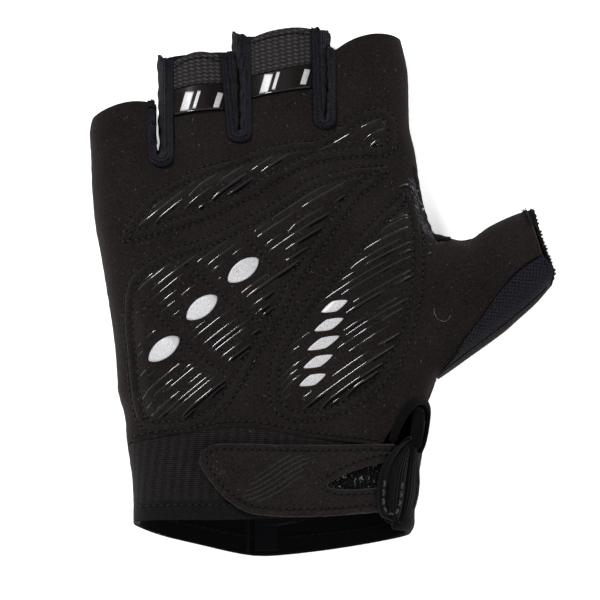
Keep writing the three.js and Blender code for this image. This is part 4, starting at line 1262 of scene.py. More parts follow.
def strap_relief(along, side):
    """The soft unevenness of the strap, and the dip of its sewn border."""
    s = np.clip(along / STRAP_LENGTH, 0, 1)
    high, low = strap_upper(s) * STRAP_WIDTH, strap_lower(s) * STRAP_WIDTH
    border = np.minimum(np.minimum(high - side, side - low), along + 0.5)
    sewn = -0.35 * np.exp(-((border - 1.6) / 0.5) ** 2)
    bent = -0.7 * ease(50, 57, along)
    return sewn + 0.28 * waves(along, side, 10, 0.9) + 0.07 * waves(along, side, 2.2, 4.0) + bent


def strap_grid(low_of, high_of, alongs, across, lift):
    rows = []
    for along in alongs:
        s = along / STRAP_LENGTH
        side = mix(low_of(s, along), high_of(s, along), across)
        x = np.full_like(side, strap_tip_x + along)
        relief = strap_relief(np.full_like(side, along), side)
        rows.append(raised_point(x, strap_tip_y + side, lift + relief))
    return np.array(rows)


def notch_edges(along):
    return float(notch_floor(along)), float(notch_roof(along))


def closure_strap():
    """The strap in four fields: two of its body, and the two tongues beside the notch."""
    lift = STRAP_LIFT + STRAP_WALL
    low = lambda s, a: float(strap_lower(s)) * STRAP_WIDTH
    high = lambda s, a: float(strap_upper(s)) * STRAP_WIDTH
    split = float(notch_outline["along"][0])
    body = np.concatenate([8 * np.linspace(0, 1, 26)[:-1] ** 1.8, np.linspace(8, split, 60)])
    tongue = split + (STRAP_LENGTH - split) * np.linspace(0, 1, 46) ** 1.3
    half = np.linspace(0, 1, 37)
    floor = lambda s, a: notch_edges(a)[0]
    roof = lambda s, a: notch_edges(a)[1]
    middle = lambda s, a: mix((low(s, a) + high(s, a)) / 2, floor(s, split), ease(0, split, a))
    grids = [
        strap_grid(low, middle, body, half, lift),
        strap_grid(middle, high, body, half, lift),
        strap_grid(low, floor, tongue, half, lift),
        strap_grid(roof, high, tongue, half, lift),
    ]
    return sew("strap_suede", grids, STRAP_WALL, edge=0.25, flip=True)


def loop_base():
    side = np.linspace(-0.5, 0.5, 21) * LOOP_WIDTH
    x = strap_tip_x + LOOP_START + np.linspace(0, 1, 31) * LOOP_LENGTH
    xs, ys = np.meshgrid(x, strap_tip_y + side)
    return sew("loop_base", [raised_point(xs, ys, LOOP_LIFT + LOOP_WALL + 0 * xs)], LOOP_WALL)


def inner_tape():
    """The tape in the cuff: a wide head under a short tail that reaches the hem's edge."""
    shares = np.linspace(0, 1, 15)
    rows = []
    for v in np.linspace(-0.42, 1, 24):
        head = ease(0.38, 0.46, v)
        x = HAND_CENTRE + TAPE_START + (TAPE_WIDTH + TAPE_HEAD * head) * shares
        around = (x - across_hand(seam_left)) / (hand_right(along_hand(0)) - across_hand(seam_left))
        y = along_hand(back_hem_top(around)) + SEAM_GAP + TAPE_LENGTH * v
        lift = KNIT_WALL + SEAM_GAP + TAPE_WALL + 0.15 * np.sin(x) + (0.35 if v < 0 else 0)
        rows.append(back_point(x, y, lift))
    return sew("hem_tape", [np.array(rows)], TAPE_WALL, edge=0.1)


# Padding
def pad_edges(name):
    rows = pads[name]
    return [column(rows, "s", field) for field in ("inner_x", "inner_at", "outer_x", "outer_at")]


def pad_place(name, s, t):
    inner_x, inner_at, outer_x, outer_at = (read(s) for read in pad_edges(name))
    return across_hand(mix(inner_x, outer_x, t)), along_hand(mix(inner_at, outer_at, t))


def pad_border(name, pitch=0.8):
    """The pad's border, anticlockwise, as an even closed path of x and y."""
    s = np.linspace(0, 1, 160)
    t = np.linspace(0, 1, 14)
    runs = [pad_place(name, s, 0 * s), pad_place(name, 1 + 0 * t, t),
            pad_place(name, s[::-1], 1 + 0 * s), pad_place(name, 0 * t, t[::-1])]
    x = np.concatenate([run[0] for run in runs])
    y = np.concatenate([run[1] for run in runs])
    path = np.stack([x, y], -1)
    path = even_steps(path[np.append(True, np.linalg.norm(np.diff(path, axis=0), axis=1) > 1e-4)], pitch)
    area = np.sum(path[:, 0] * np.roll(path[:, 1], -1) - path[:, 1] * np.roll(path[:, 0], -1))
    path = path if area > 0 else path[::-1]
    return relax(path, 6)


def distance_to(path, x, y):
    """Distance from places to the nearest point of a path."""
    places = np.stack([np.ravel(x), np.ravel(y)], -1)
    best = np.full(len(places), 1e9)
    for start in range(0, len(path), 60):
        part = path[start:start + 60]
        gap = np.linalg.norm(places[:, None, :] - part[None, :, :], axis=2).min(1)
        best = np.minimum(best, gap)
    return best.reshape(np.shape(x))


groove_paths = [smooth_path(line, 0.5) for line in flex_grooves]


def pad_thickness(name, x, y, border):
    """A low welt between the two rows of stitches, then the rise of the gel inside them."""
    d = distance_to(border, x, y)
    welt = PAD_WELT * np.sin(np.pi / 2 * np.clip(d / 1.2, 0, 1))
    sewn = 0.5 * np.exp(-((d - PAD_INNER_ROW) / 0.55) ** 2)
    rise = (PAD_RISE - PAD_WELT) * ease(PAD_INNER_ROW - 0.2, PAD_INNER_ROW + PAD_SLOPE, d)
    groove = 0.0
    if name == "gel_pad_outer":
        near = np.min([distance_to(path, x, y) for path in groove_paths], axis=0)
        groove = np.exp(-(near / GROOVE_WIDTH) ** 2)
    soft = 1 + 0.2 * waves(x, y, 5.5, 3.3) + 0.06 * waves(x, y, 2.6, 1.1)
    return 0.12 + welt - sewn * np.clip(d / 2, 0, 1) + rise * soft * (1 - 0.75 * groove)


def pad_cover(name, title):
    """A pad as a closed padded form: a crowned top over a flat underside that it meets at its border."""
    s = np.linspace(0, 1, 150)
    t = np.concatenate([np.linspace(0, 0.2, 16)[:-1], np.linspace(0.2, 0.8, 34)[:-1],
                        np.linspace(0.8, 1, 16)])
    ss, tt = np.meshgrid(s, t, indexing="ij")
    x, y = pad_place(name, ss, tt)
    border = pad_border(name, 0.4)
    thick = pad_thickness(name, x, y, border)
    relief = palm_relief(x, y)
    top = raised_point(x, y, thick)
    top[..., 2] += relief
    under = raised_point(x, y, 0.06 + 0 * x)
    under[..., 2] += relief
    edge = np.zeros_like(x, bool)
    edge[0, :] = edge[-1, :] = edge[:, 0] = edge[:, -1] = True
    under[edge] = top[edge]
    return sew_closed(title, top, under)


def sew_closed(name, top, under):
    upper = lay_grid(name, top)
    lower = lay_grid(name + "_under", under, flip=True)
    pick(upper, lower)
    bpy.ops.object.join()
    piece = bpy.context.object
    weld(0.005, outward=True)
    bpy.ops.object.shade_smooth()
    return piece


# Silicone ridges printed on the padding
def ridge_curve(c, xs):
    """A long low arc that runs up to the right, steeper at the left and by the wrist."""
    ys = [c]
    for x, step in zip(xs[:-1], np.diff(xs)):
        slope = 0.82 - 0.0022 * max(0.0, x + 40) * (1 + (ys[-1] + 35) / 45)
        ys.append(ys[-1] + max(0.3, slope) * step)
    return np.array(ys)


def inside(path, x, y):
    """Whether places lie within a closed path."""
    x, y = np.asarray(x, float), np.asarray(y, float)
    hits = np.zeros(np.shape(x), int)
    ax, ay = path[:, 0], path[:, 1]
    bx, by = np.roll(ax, -1), np.roll(ay, -1)
    for i in range(len(path)):
        crosses = (ay[i] > y) != (by[i] > y)
        rise = by[i] - ay[i]
        at = ax[i] + (y - ay[i]) / (rise if rise else 1e-9) * (bx[i] - ax[i])
        hits += crosses & (x < at)
    return hits % 2 == 1


# Printed marks on the pads: plain leaves where the outer pad carries its row of three, and a fan of
# lozenges on the thumb's pad. Place, length, width and turn of each.
leaf_marks = (
    (-48.3, -21.4, 11.5, 5.6, 38),
    (-36.9, -8.9, 11.5, 5.6, 38),
    (-24.4, 2.6, 11.5, 5.6, 38),
)
lozenge_marks = tuple(
    (-3.4 + 1.65 * k, -31.0 + 5.6 * k, 10.6 - 0.9 * abs(k - 2), 3.3, 24) for k in range(5)
)
print_marks = leaf_marks + lozenge_marks


def clear_of_prints(x, y):
    for cx, cy, length, width, turn in print_marks:
        u, v = along_and_across(x, y, cx, cy, turn)
        if (u / (length / 2 + 1.6)) ** 2 + (v / (width / 2 + 1.2)) ** 2 < 1:
            return False
    return True


# Each pad's ridges: spacing up the hand, mean length and gap, and how far in from the border they stay
ridge_rules = {
    "gel_pad_upper": (2.8, 28.0, 3.6, 3.1),
    "gel_pad_outer": (2.6, 24.0, 3.0, 3.1),
    "gel_pad_thumb": (3.2, 24.0, 3.6, 3.2),
}


def silicone_ridges(name, carrier):
    spacing, mean_length, mean_gap, margin = ridge_rules[name]
    border = pad_border(name, 0.8)
    low, high = border.min(0), border.max(0)
    xs = np.arange(low[0], high[0], 0.7)
    runs = []
    start = low[1] - 90
    while start < high[1] + 10:
        start += spacing * chance.uniform(0.5, 1.6)
        ys = ridge_curve(start, xs)
        allowed = inside(border, xs, ys) & (distance_to(border, xs, ys) > margin)
        if name == "gel_pad_outer":
            allowed &= np.min([distance_to(path, xs, ys) for path in groove_paths], axis=0) > 1.1
        dash, left = [], chance.uniform(0.2, 1.2) * mean_length
        for x, y, free in zip(xs, ys, allowed):
            free = free and clear_of_prints(x, y)
            if free and left > 0:
                dash.append((x, y))
                left -= 0.88
                continue
            if len(dash) > 3:
                runs.append(dash)
            dash = []
            left -= 0.88
            if left < -mean_gap * chance.uniform(0.2, 1.0):
                left = mean_length * chance.uniform(0.35, 1.8)
        if len(dash) > 3:
            runs.append(dash)
    paths = []
    for dash in runs:
        hook = chance.choice((0, 0, 0.9)) if len(dash) > 7 else 0
        hooked = [(x, y - hook * max(0, 1 - i / 2.2)) for i, (x, y) in enumerate(dash)]
        lift = -0.26 if chance.random() < 0.3 else -0.14
        points = laid_on(carrier, hooked, lift)
        if not points:
            continue
        points = relax(np.array(points), 7)
        i = np.arange(len(points))
        shares = np.clip(0.45 + 0.18 * np.minimum(i, i[::-1]), 0, 1) * chance.uniform(0.8, 1.15)
        shares = shares * (0.95 + 0.1 * waves(points[:, 0], points[:, 1], 3.1, 0.5))
        paths.append((points, shares))
    return paths


# Thin prints
def print_shape(name, outline, centre, carrier, lift=0.1, wall=0.14, rings=7):
    """A thin print with an outline of x and y round its centre, laid on to its carrier."""
    outline = np.asarray(outline, float)
    rows = []
    for r in np.linspace(0, 1, rings + 1)[1:]:
        rows.append([carrier.drop(*mix(np.asarray(centre), p, r), lift) for p in outline])
    if any(point is None for row in rows for point in row):
        return None
    middle = carrier.drop(*centre, lift)
    grid = np.array([[middle] * (len(outline) + 1)] + [row + [row[0]] for row in rows])
    return sew(name, [grid[:, ::-1]], wall, edge=0)


def turned_outline(cx, cy, turn, radius, count):
    """An outline round a centre, turned by some degrees; radius(a) gives its reach along and across."""
    c, s = math.cos(math.radians(turn)), math.sin(math.radians(turn))
    points = []
    for i in range(count):
        u, v = radius(2 * math.pi * i / count)
        points.append((cx + u * c - v * s, cy + u * s + v * c))
    return points


def leaf_outline(cx, cy, length, width, turn):
    """Two round sides that meet in a point at each end."""
    def radius(a):
        return length / 2 * math.cos(a), width / 2 * math.sin(a) * abs(math.sin(a)) ** 0.35
    return turned_outline(cx, cy, turn, radius, 26)


def lozenge_outline(cx, cy, length, width, turn):
    """Four sides, nearly straight, with their corners a little rounded."""
    def radius(a):
        size = 1 / (abs(math.cos(a)) ** 1.25 + abs(math.sin(a)) ** 1.25) ** 0.8
        return length / 2 * math.cos(a) * size, width / 2 * math.sin(a) * size
    return turned_outline(cx, cy, turn, radius, 24)


def slanted_bar(cx, cy, height, width, slant):
    corners = [(-width / 2, -height / 2), (width / 2, -height / 2),
               (width / 2 + slant, height / 2), (-width / 2 + slant, height / 2)]
    points = []
    for (ax, ay), (bx, by) in zip(corners, corners[1:] + corners[:1]):
        points += [(cx - slant / 2 + mix(ax, bx, t), cy + mix(ay, by, t)) for t in (0, 0.34, 0.67)]
    return points


def needle_hole_shade(stitched):
    """Painted shade in the holes where the stitches go down into the cloth: short flat dark beads."""
    found = []
    for points, _ in stitched:
        for near, far in ((points[0], points[1]), (points[-1], points[-2])):
            away = (far - near) / max(np.linalg.norm(far - near), 1e-9)
            up = np.array([0, 0, 0.1])
            found.append(([near - away * 0.2 + up, near + away * 0.12 + up], (1, 1)))
    return found


def fuzz(count, place, carrier, length, lift=0.0, lean=0.5):
    """Short bent fibres at places that place() gives; each is dropped on to the carrier."""
    found = []
    for _ in range(count):
        x, y = place()
        base = carrier.drop(x, y, lift)
        if base is None:
            continue
        turn, size = chance.uniform(0, 2 * math.pi), length * chance.uniform(0.5, 1.5)
        aside = np.array([math.cos(turn), math.sin(turn), 0])
        bent = np.array([math.cos(turn + 1.2), math.sin(turn + 1.2), 0])
        up = np.array([0, 0, 1])
        points = [base, base + size * (0.45 * aside * lean + 0.3 * up * (1.2 - lean)),
                  base + size * (0.75 * aside * lean + 0.3 * bent * lean + 0.4 * up * (1.2 - lean))]
        found.append((points, (1, 0.9, 0.6)))
    return found


def curl(base, size, turn, tilt):
    """One little loop of a loop tape."""
    c, s = math.cos(turn), math.sin(turn)
    points = []
    for i in range(6):
        a = -0.6 + i * (math.pi + 1.2) / 5
        u, w = -math.cos(a) * size, math.sin(a) * size * 1.1
        points.append(base + np.array([u * c - tilt * w * s, u * s + tilt * w * c, w]))
    return points, (1, 1, 1, 1, 1, 1)


def on_path(path, spread):
    """A function that gives random places near a path."""
    def place():
        x, y = path[chance.randrange(len(path))]
        return x + chance.gauss(0, spread), y + chance.gauss(0, spread)
    return place


def raise_path(path, lift):
    return raised_point(path[:, 0], path[:, 1], lift)


# Shader building
def node_of(tree, kind, **settings):
    made = tree.nodes.new(kind)
    for name, value in settings.items():
        setattr(made, name, value)
    return made


def math_of(tree, operation, a, b=None, clamp=False):
    made = tree.nodes.new("ShaderNodeMath")
    made.operation = operation
    made.use_clamp = clamp
    for socket, value in zip(made.inputs, (a, b)):
        if value is None:
            continue
        if isinstance(value, (int, float)):
            socket.default_value = value
        else:
            tree.links.new(value, socket)
    return made.outputs[0]


def range_of(tree, value, low, high, out_low=0.0, out_high=1.0):
    made = tree.nodes.new("ShaderNodeMapRange")
    tree.links.new(value, made.inputs["Value"])
    for name, number in (("From Min", low), ("From Max", high), ("To Min", out_low), ("To Max", out_high)):
        made.inputs[name].default_value = number
    return made.outputs["Result"]


def blend_of(tree, mask, a, b):
    """Colours a and b mixed by a mask; each is a socket or a plain colour."""
    made = tree.nodes.new("ShaderNodeMix")
    made.data_type = "RGBA"
    tree.links.new(mask, made.inputs["Factor"])
    for name, value in (("A", a), ("B", b)):
        socket = next(s for s in made.inputs if s.name == name and s.type == "RGBA")
        if isinstance(value, tuple):
            socket.default_value = (*value, 1)
        else:
            tree.links.new(value, socket)
    return next(s for s in made.outputs if s.type == "RGBA")


def new_group(name, inputs, outputs):
    group = bpy.data.node_groups.new(name, "ShaderNodeTree")
    for label, kind, default in inputs:
        socket = group.interface.new_socket(label, in_out="INPUT", socket_type=kind)
        if default is not None:
            socket.default_value = default
    for label in outputs:
        group.interface.new_socket(label, in_out="OUTPUT", socket_type="NodeSocketFloat")
    start = group.nodes.new("NodeGroupInput")
    end = group.nodes.new("NodeGroupOutput")
    return group, start, end


def noise_of(tree, vector, scale, detail=3.0, roughness=0.6):
    made = tree.nodes.new("ShaderNodeTexNoise")
    tree.links.new(vector, made.inputs["Vector"])
    made.inputs["Scale"].default_value = scale
    made.inputs["Detail"].default_value = detail
    made.inputs["Roughness"].default_value = roughness
    return made.outputs["Fac"]


def nap_group():
    """Soft nap of suede: a fine mottle, broad worn patches, and specks of lint."""
    group, start, end = new_group(
        "nap", [("Vector", "NodeSocketVector", None), ("Scale", "NodeSocketFloat", 1.0)],
        ["Mottle", "Patches", "Lint", "Fleck", "Height"])
    scaled = node_of(group, "ShaderNodeVectorMath", operation="SCALE")
    group.links.new(start.outputs["Vector"], scaled.inputs[0])
    group.links.new(start.outputs["Scale"], scaled.inputs["Scale"])
    place = scaled.outputs["Vector"]
    fine = noise_of(group, place, 3400, 3, 0.7)
    coarse = noise_of(group, place, 1500, 3, 0.6)
    broad = noise_of(group, place, 55, 3, 0.55)
    cells = node_of(group, "ShaderNodeTexVoronoi", feature="F1")
    group.links.new(place, cells.inputs["Vector"])
    cells.inputs["Scale"].default_value = 900
    speck = range_of(group, cells.outputs["Distance"], 0.05, 0.26, 1, 0)
    shade = node_of(group, "ShaderNodeSeparateColor")
    group.links.new(cells.outputs["Color"], shade.inputs["Color"])
    rare = range_of(group, shade.outputs["Red"], 0.8, 0.98)
    group.links.new(range_of(group, fine, 0.52, 0.66), end.inputs["Fleck"])
    group.links.new(range_of(group, math_of(group, "ADD", fine, coarse), 0.8, 1.2), end.inputs["Mottle"])
    group.links.new(range_of(group, broad, 0.3, 0.7), end.inputs["Patches"])
    group.links.new(math_of(group, "MULTIPLY", speck, rare), end.inputs["Lint"])
    height = math_of(group, "ADD", math_of(group, "MULTIPLY", fine, 0.6), coarse)
    group.links.new(height, end.inputs["Height"])
    return group


def knit_group():
    """Fine knitted rows: courses across, loops along them, and a little unevenness."""
    group, start, end = new_group(
        "knit", [("Vector", "NodeSocketVector", None), ("Course", "NodeSocketFloat", 1.0),
                 ("Wale", "NodeSocketFloat", 1.0), ("Zigzag", "NodeSocketFloat", 0.0)],
        ["Loops", "Height"])
    axis = node_of(group, "ShaderNodeSeparateXYZ")
    group.links.new(start.outputs["Vector"], axis.inputs[0])
    turn = 2 * math.pi
    wale = math_of(group, "DIVIDE", axis.outputs["X"], start.outputs["Wale"])
    saw = math_of(group, "PINGPONG", wale, 0.5)
    bent = math_of(group, "MULTIPLY", saw, start.outputs["Zigzag"])
    course = math_of(group, "ADD", math_of(group, "DIVIDE", axis.outputs["Y"], start.outputs["Course"]), bent)
    unevenness = noise_of(group, start.outputs["Vector"], 9, 2, 0.5)
    course = math_of(group, "ADD", course, math_of(group, "MULTIPLY", unevenness, 0.35))
    rows = math_of(group, "SINE", math_of(group, "MULTIPLY", course, turn))
    loops = math_of(group, "SINE", math_of(group, "MULTIPLY", wale, turn))
    both = math_of(group, "ADD", rows, math_of(group, "MULTIPLY", loops, 0.5))
    height = range_of(group, both, -1.5, 1.5)
    group.links.new(range_of(group, both, 0.1, 1.4), end.inputs["Loops"])
    group.links.new(height, end.inputs["Height"])
    return group


NAP = nap_group()
KNIT = knit_group()


def place_group(tree, group, source, **numbers):
    made = tree.nodes.new("ShaderNodeGroup")
    made.node_tree = group
    place = tree.nodes.new("ShaderNodeTexCoord")
    tree.links.new(place.outputs[source], made.inputs["Vector"])
    for name, value in numbers.items():
        made.inputs[name].default_value = value
    return made


def new_material(name, roughness, **sockets):
    material = bpy.data.materials.new(name)
    material.use_nodes = True
    tree = material.node_tree
    shader = tree.nodes["Principled BSDF"]
    shader.inputs["Roughness"].default_value = roughness
    for label, value in sockets.items():
        shader.inputs[label.replace("_", " ")].default_value = value
    return material, tree, shader


def bump(tree, shader, height, distance, strength=1.0):
    made = tree.nodes.new("ShaderNodeBump")
    made.inputs["Distance"].default_value = distance
    made.inputs["Strength"].default_value = strength
    tree.links.new(height, made.inputs["Height"])
    tree.links.new(made.outputs["Normal"], shader.inputs["Normal"])


def napped(name, dark, light, lint, depth=0.0003):
    """A napped cloth such as suede, between a dark and a light tone, with specks of lint."""
    material, tree, shader = new_material(
        name, 0.95, Specular_IOR_Level=0.04, Sheen_Weight=0.06, Sheen_Roughness=0.5,
        Sheen_Tint=(0.75, 0.68, 0.66, 1))
    nap = place_group(tree, NAP, "Object", Scale=1.0)
    tone = math_of(tree, "ADD", math_of(tree, "MULTIPLY", nap.outputs["Mottle"], 0.72),
                   math_of(tree, "MULTIPLY", nap.outputs["Patches"], 0.28), clamp=True)
    colour = blend_of(tree, tone, dark, light)
    colour = blend_of(tree, math_of(tree, "MULTIPLY", nap.outputs["Lint"], 0.55), colour, lint)
    tree.links.new(colour, shader.inputs["Base Color"])
    bump(tree, shader, nap.outputs["Height"], depth, 0.8)
    return material


def knitted(name, dark, light, course, wale, zigzag=0.0, roughness=0.85, sheen=0.05, depth=0.0002,
            specular=0.05, mottle=0.35, fleck=None):
    """A knitted cloth whose courses and wales follow its own UVs, in centimetres."""
    material, tree, shader = new_material(
        name, roughness, Specular_IOR_Level=specular, Sheen_Weight=sheen, Sheen_Roughness=0.5)
    knit = place_group(tree, KNIT, "UV", Course=course, Wale=wale, Zigzag=zigzag)
    nap = place_group(tree, NAP, "Object", Scale=1.0)
    tone = math_of(tree, "ADD", math_of(tree, "MULTIPLY", knit.outputs["Loops"], 1 - mottle),
                   math_of(tree, "MULTIPLY", nap.outputs["Mottle"], mottle), clamp=True)
    colour = blend_of(tree, tone, dark, light)
    if fleck:
        colour = blend_of(tree, math_of(tree, "MULTIPLY", nap.outputs["Fleck"], 0.75), colour, fleck)
    tree.links.new(colour, shader.inputs["Base Color"])
    bump(tree, shader, knit.outputs["Height"], depth, 0.9)
    return material


def perforated(name, dark, light, hole, pitch):
    """A fine mesh cloth with staggered round holes on its own UVs."""
    material, tree, shader = new_material(
        name, 0.85, Specular_IOR_Level=0.05, Sheen_Weight=0.05, Sheen_Roughness=0.5)
    place = tree.nodes.new("ShaderNodeTexCoord")
    axis = node_of(tree, "ShaderNodeSeparateXYZ")
    tree.links.new(place.outputs["UV"], axis.inputs[0])
    turn = 2 * math.pi / pitch
    a = math_of(tree, "SINE", math_of(tree, "MULTIPLY", axis.outputs["X"], turn))
    b = math_of(tree, "SINE", math_of(tree, "MULTIPLY", axis.outputs["Y"], turn))
    field = math_of(tree, "MULTIPLY", a, b)
    holes = range_of(tree, field, 0.35, 0.6)
    nap = place_group(tree, NAP, "Object", Scale=1.0)
    colour = blend_of(tree, nap.outputs["Mottle"], dark, light)
    colour = blend_of(tree, holes, colour, hole)
    tree.links.new(colour, shader.inputs["Base Color"])
    bump(tree, shader, range_of(tree, field, 0.0, 0.6, 1, 0), 0.0002, 0.9)
    return material


def glossy_film(name, colour, roughness, specular):
    """A smooth printed film, with slightly uneven colour and gloss."""
    material, tree, shader = new_material(name, roughness, Specular_IOR_Level=specular)
    place = tree.nodes.new("ShaderNodeTexCoord")
    mottle = noise_of(tree, place.outputs["Object"], 220, 2, 0.5)
    dark = tuple(v * 0.75 for v in colour)
    tree.links.new(blend_of(tree, mottle, dark, colour), shader.inputs["Base Color"])
    tree.links.new(range_of(tree, mottle, 0.35, 0.65, roughness * 0.7, roughness * 1.7),
                   shader.inputs["Roughness"])
    bump(tree, shader, mottle, 0.00003, 0.2)
    return material


def silver_print(name):
    """Reflective silver print with fine flakes and a few rubbed spots."""
    material, tree, shader = new_material(name, 0.5, Metallic=0.15, Specular_IOR_Level=0.5)
    place = tree.nodes.new("ShaderNodeTexCoord")
    flakes = noise_of(tree, place.outputs["Object"], 3800, 2, 0.7)
    rubbed = noise_of(tree, place.outputs["Object"], 900, 3, 0.7)
    tone = blend_of(tree, range_of(tree, flakes, 0.35, 0.65), (0.27, 0.27, 0.28), (0.56, 0.56, 0.58))
    worn = range_of(tree, rubbed, 0.66, 0.72)
    tree.links.new(blend_of(tree, worn, tone, (0.25, 0.25, 0.26)), shader.inputs["Base Color"])
    tree.links.new(range_of(tree, flakes, 0.3, 0.7, 0.35, 0.6), shader.inputs["Roughness"])
    bump(tree, shader, flakes, 0.00005, 0.5)
    return material


def thread(name, dark, light):
    """Twisted thread, and any fibre as fine."""
    material, tree, shader = new_material(
        name, 0.6, Specular_IOR_Level=0.12, Sheen_Weight=0.05, Sheen_Roughness=0.4)
    place = tree.nodes.new("ShaderNodeTexCoord")
    twist = noise_of(tree, place.outputs["Object"], 2400, 2, 0.6)
    colour = blend_of(tree, range_of(tree, twist, 0.35, 0.65), dark, light)
    tree.links.new(colour, shader.inputs["Base Color"])
    bump(tree, shader, twist, 0.0001, 0.6)
    return material


lint_tone = (0.075, 0.08, 0.07)
suede = napped("palm suede", (0.0026, 0.0018, 0.0016), (0.0150, 0.0118, 0.0112), lint_tone)
pad_suede = napped("padded suede", (0.0026, 0.0019, 0.0018), (0.0155, 0.0124, 0.0118), lint_tone)
strap_cloth = napped("strap suede", (0.0035, 0.0027, 0.0025), (0.0175, 0.0142, 0.0138), lint_tone)
strap_cut = napped("strap's cut edge", (0.006, 0.005, 0.0045), (0.036, 0.031, 0.029), (0.08, 0.08, 0.08),
                   depth=0.0005)
thumb_cut = napped("thumb's cut edge", (0.003, 0.0022, 0.0021), (0.030, 0.023, 0.022), (0.1, 0.09, 0.09),
                   depth=0.0008)
# Lighter grey than the strap: painted sheen of the pressed lines
pressed_sheen_cloth = napped("pressed lines with painted sheen", (0.009, 0.0085, 0.009), (0.030, 0.029, 0.030), lint_tone)
side_suede = napped("thumb's back suede", (0.0026, 0.0018, 0.0016), (0.0120, 0.0095, 0.0090), lint_tone)
jersey = knitted("back jersey", (0.0045, 0.0042, 0.006), (0.014, 0.013, 0.018), 0.055, 0.06)
# The jersey inside the cuff, darker than the back's: painted shade inside the glove
shaded_cuff_jersey = knitted("cuff jersey darkened as painted shade", (0.0010, 0.0009, 0.0010), (0.0046, 0.0039, 0.0040), 0.06, 0.06)
lycra = knitted("gusset lycra", (0.0002, 0.0002, 0.0006), (0.0125, 0.0112, 0.0185), 0.075, 0.065, 0.6,
                depth=0.0006, mottle=0.15, fleck=(0.030, 0.028, 0.042))
ribbed_mesh = knitted("finger mesh", (0.0085, 0.0075, 0.0078), (0.052, 0.047, 0.048), 0.125, 0.21, 0.7,
                      depth=0.0004, mottle=0.25)
cuff_rib = knitted("cuff knit", (0.0007, 0.0005, 0.0006), (0.0215, 0.0175, 0.0182), 0.062, 0.3,
                   depth=0.0003, mottle=0.35, fleck=(0.020, 0.0165, 0.017))
flap_rib = knitted("flap knit", (0.0008, 0.0006, 0.0008), (0.0070, 0.0058, 0.0068), 0.06, 0.06)
bound = knitted("smooth binding", (0.0010, 0.0009, 0.0011), (0.0055, 0.0050, 0.0058), 0.05, 0.05,
                roughness=0.75, sheen=0.02, depth=0.0002, specular=0.03)
hem_cloth = knitted("hem binding", (0.0022, 0.0021, 0.0025), (0.0085, 0.0081, 0.0092), 0.05, 0.05,
                    roughness=0.75, sheen=0.04, depth=0.0002, specular=0.04, mottle=0.6)
navy_mesh = perforated("thumb mesh cloth", (0.0026, 0.0025, 0.0043), (0.0150, 0.0141, 0.0205),
                       (0.0004, 0.0004, 0.0008), 0.155)
loops_cloth = napped("loop nap", (0.0006, 0.0006, 0.0006), (0.004, 0.0036, 0.0036), (0.05, 0.05, 0.05))
tape_cloth = knitted("tape", (0.0018, 0.0017, 0.0026), (0.0062, 0.0058, 0.0085), 0.05, 0.05)
band_film = glossy_film("grip film", (0.0068, 0.0050, 0.0045), 0.4, specular=0.1)
silicone = glossy_film("silicone", (0.0008, 0.0008, 0.0008), 0.09, specular=0.9)
silver = silver_print("silver print")
black_thread = thread("black thread", (0.0024, 0.0022, 0.0024), (0.0165, 0.0155, 0.0165))
row_thread = thread("row thread", (0.0018, 0.0017, 0.0018), (0.0115, 0.0108, 0.0115))
flap_thread = thread("flap thread", (0.0060, 0.0056, 0.0060), (0.0500, 0.0480, 0.0500))
loop_thread = thread("loop thread", (0.0010, 0.0010, 0.0010), (0.010, 0.0105, 0.010))
# Near-white thread for a few loops: painted glints
glint_loop_thread = thread("loop thread with painted glints", (0.05, 0.055, 0.05), (0.45, 0.48, 0.45))
# Thread inside the cuff, darkened like its jersey: painted shade
shaded_lining_thread = thread("lining thread darkened as painted shade", (0.0004, 0.0004, 0.0004), (0.0030, 0.0028, 0.0030))
rough_thread = thread("rough edge thread", (0.010, 0.010, 0.014), (0.075, 0.075, 0.095))
lint_thread = thread("lint", (0.03, 0.035, 0.03), (0.16, 0.17, 0.15))
# Near black: painted shade in needle holes and beside the ridges, and the dark line of the thumb's seams
shade_and_seam_black = napped("painted shade and seam black", (0.0005, 0.0005, 0.0005), (0.0009, 0.0009, 0.0009), (0.001, 0.001, 0.001))


# Making the glove
palm = dress(palm_suede(), suede, ["palm_panel"])
dress(back_jersey(), jersey, ["back_panel"])
pad_pieces = {}
for node, title in (("gel_pad_upper", "upper_pad_suede"), ("gel_pad_outer", "outer_pad_suede"),
                    ("gel_pad_thumb", "thumb_pad_suede")):
    pad_pieces[node] = dress(pad_cover(node, title), pad_suede, [node])
bands, meshes = {}, {}
for k, finger in ((1, "ring"), (2, "middle")):
    band = finger_panel(f"{finger}_grip_film", k, band_start[finger], mesh_start[finger], 10, BAND_WALL,
                        BAND_PROUD, 0.15)
    mesh = finger_panel(f"{finger}_mesh_cloth", k, mesh_start[finger], finger_tip[finger], 12, MESH_WALL,
                        0.1, 0.3)
    bands[finger] = dress(band, band_film, [f"{finger}_grip_band"])
    meshes[finger] = dress(mesh, ribbed_mesh, [f"{finger}_mesh_panel"])
gussets = []
for k in range(3):
    gussets.append(dress(gusset(k), lycra, [gusset_name(k)]))
for k in range(3):
    x, y = slit_path(palm_side, k, 64)
    line = palm_side["point"](x, y) + [0, 0, 0.1]
    line = line + np.column_stack([leftwards(x, y) * -0.1, np.zeros(len(x))])
    name = gusset_name(k).replace("gusset_", "gusset_seam_")
    dress(piping(name, line, 0.3, 0.3, 8), bound)
thumb_panel = dress(thumb_mesh(), navy_mesh, ["thumb_mesh_panel"])
thumb_under = dress(thumb_back(), side_suede, ["thumb_back_panel"])
knit_cuff = dress(cuff_knit(), cuff_rib, ["cuff_knit"])
palm_binding = dress(palm_hem_binding(), hem_cloth, ["cuff_hem_palm"])
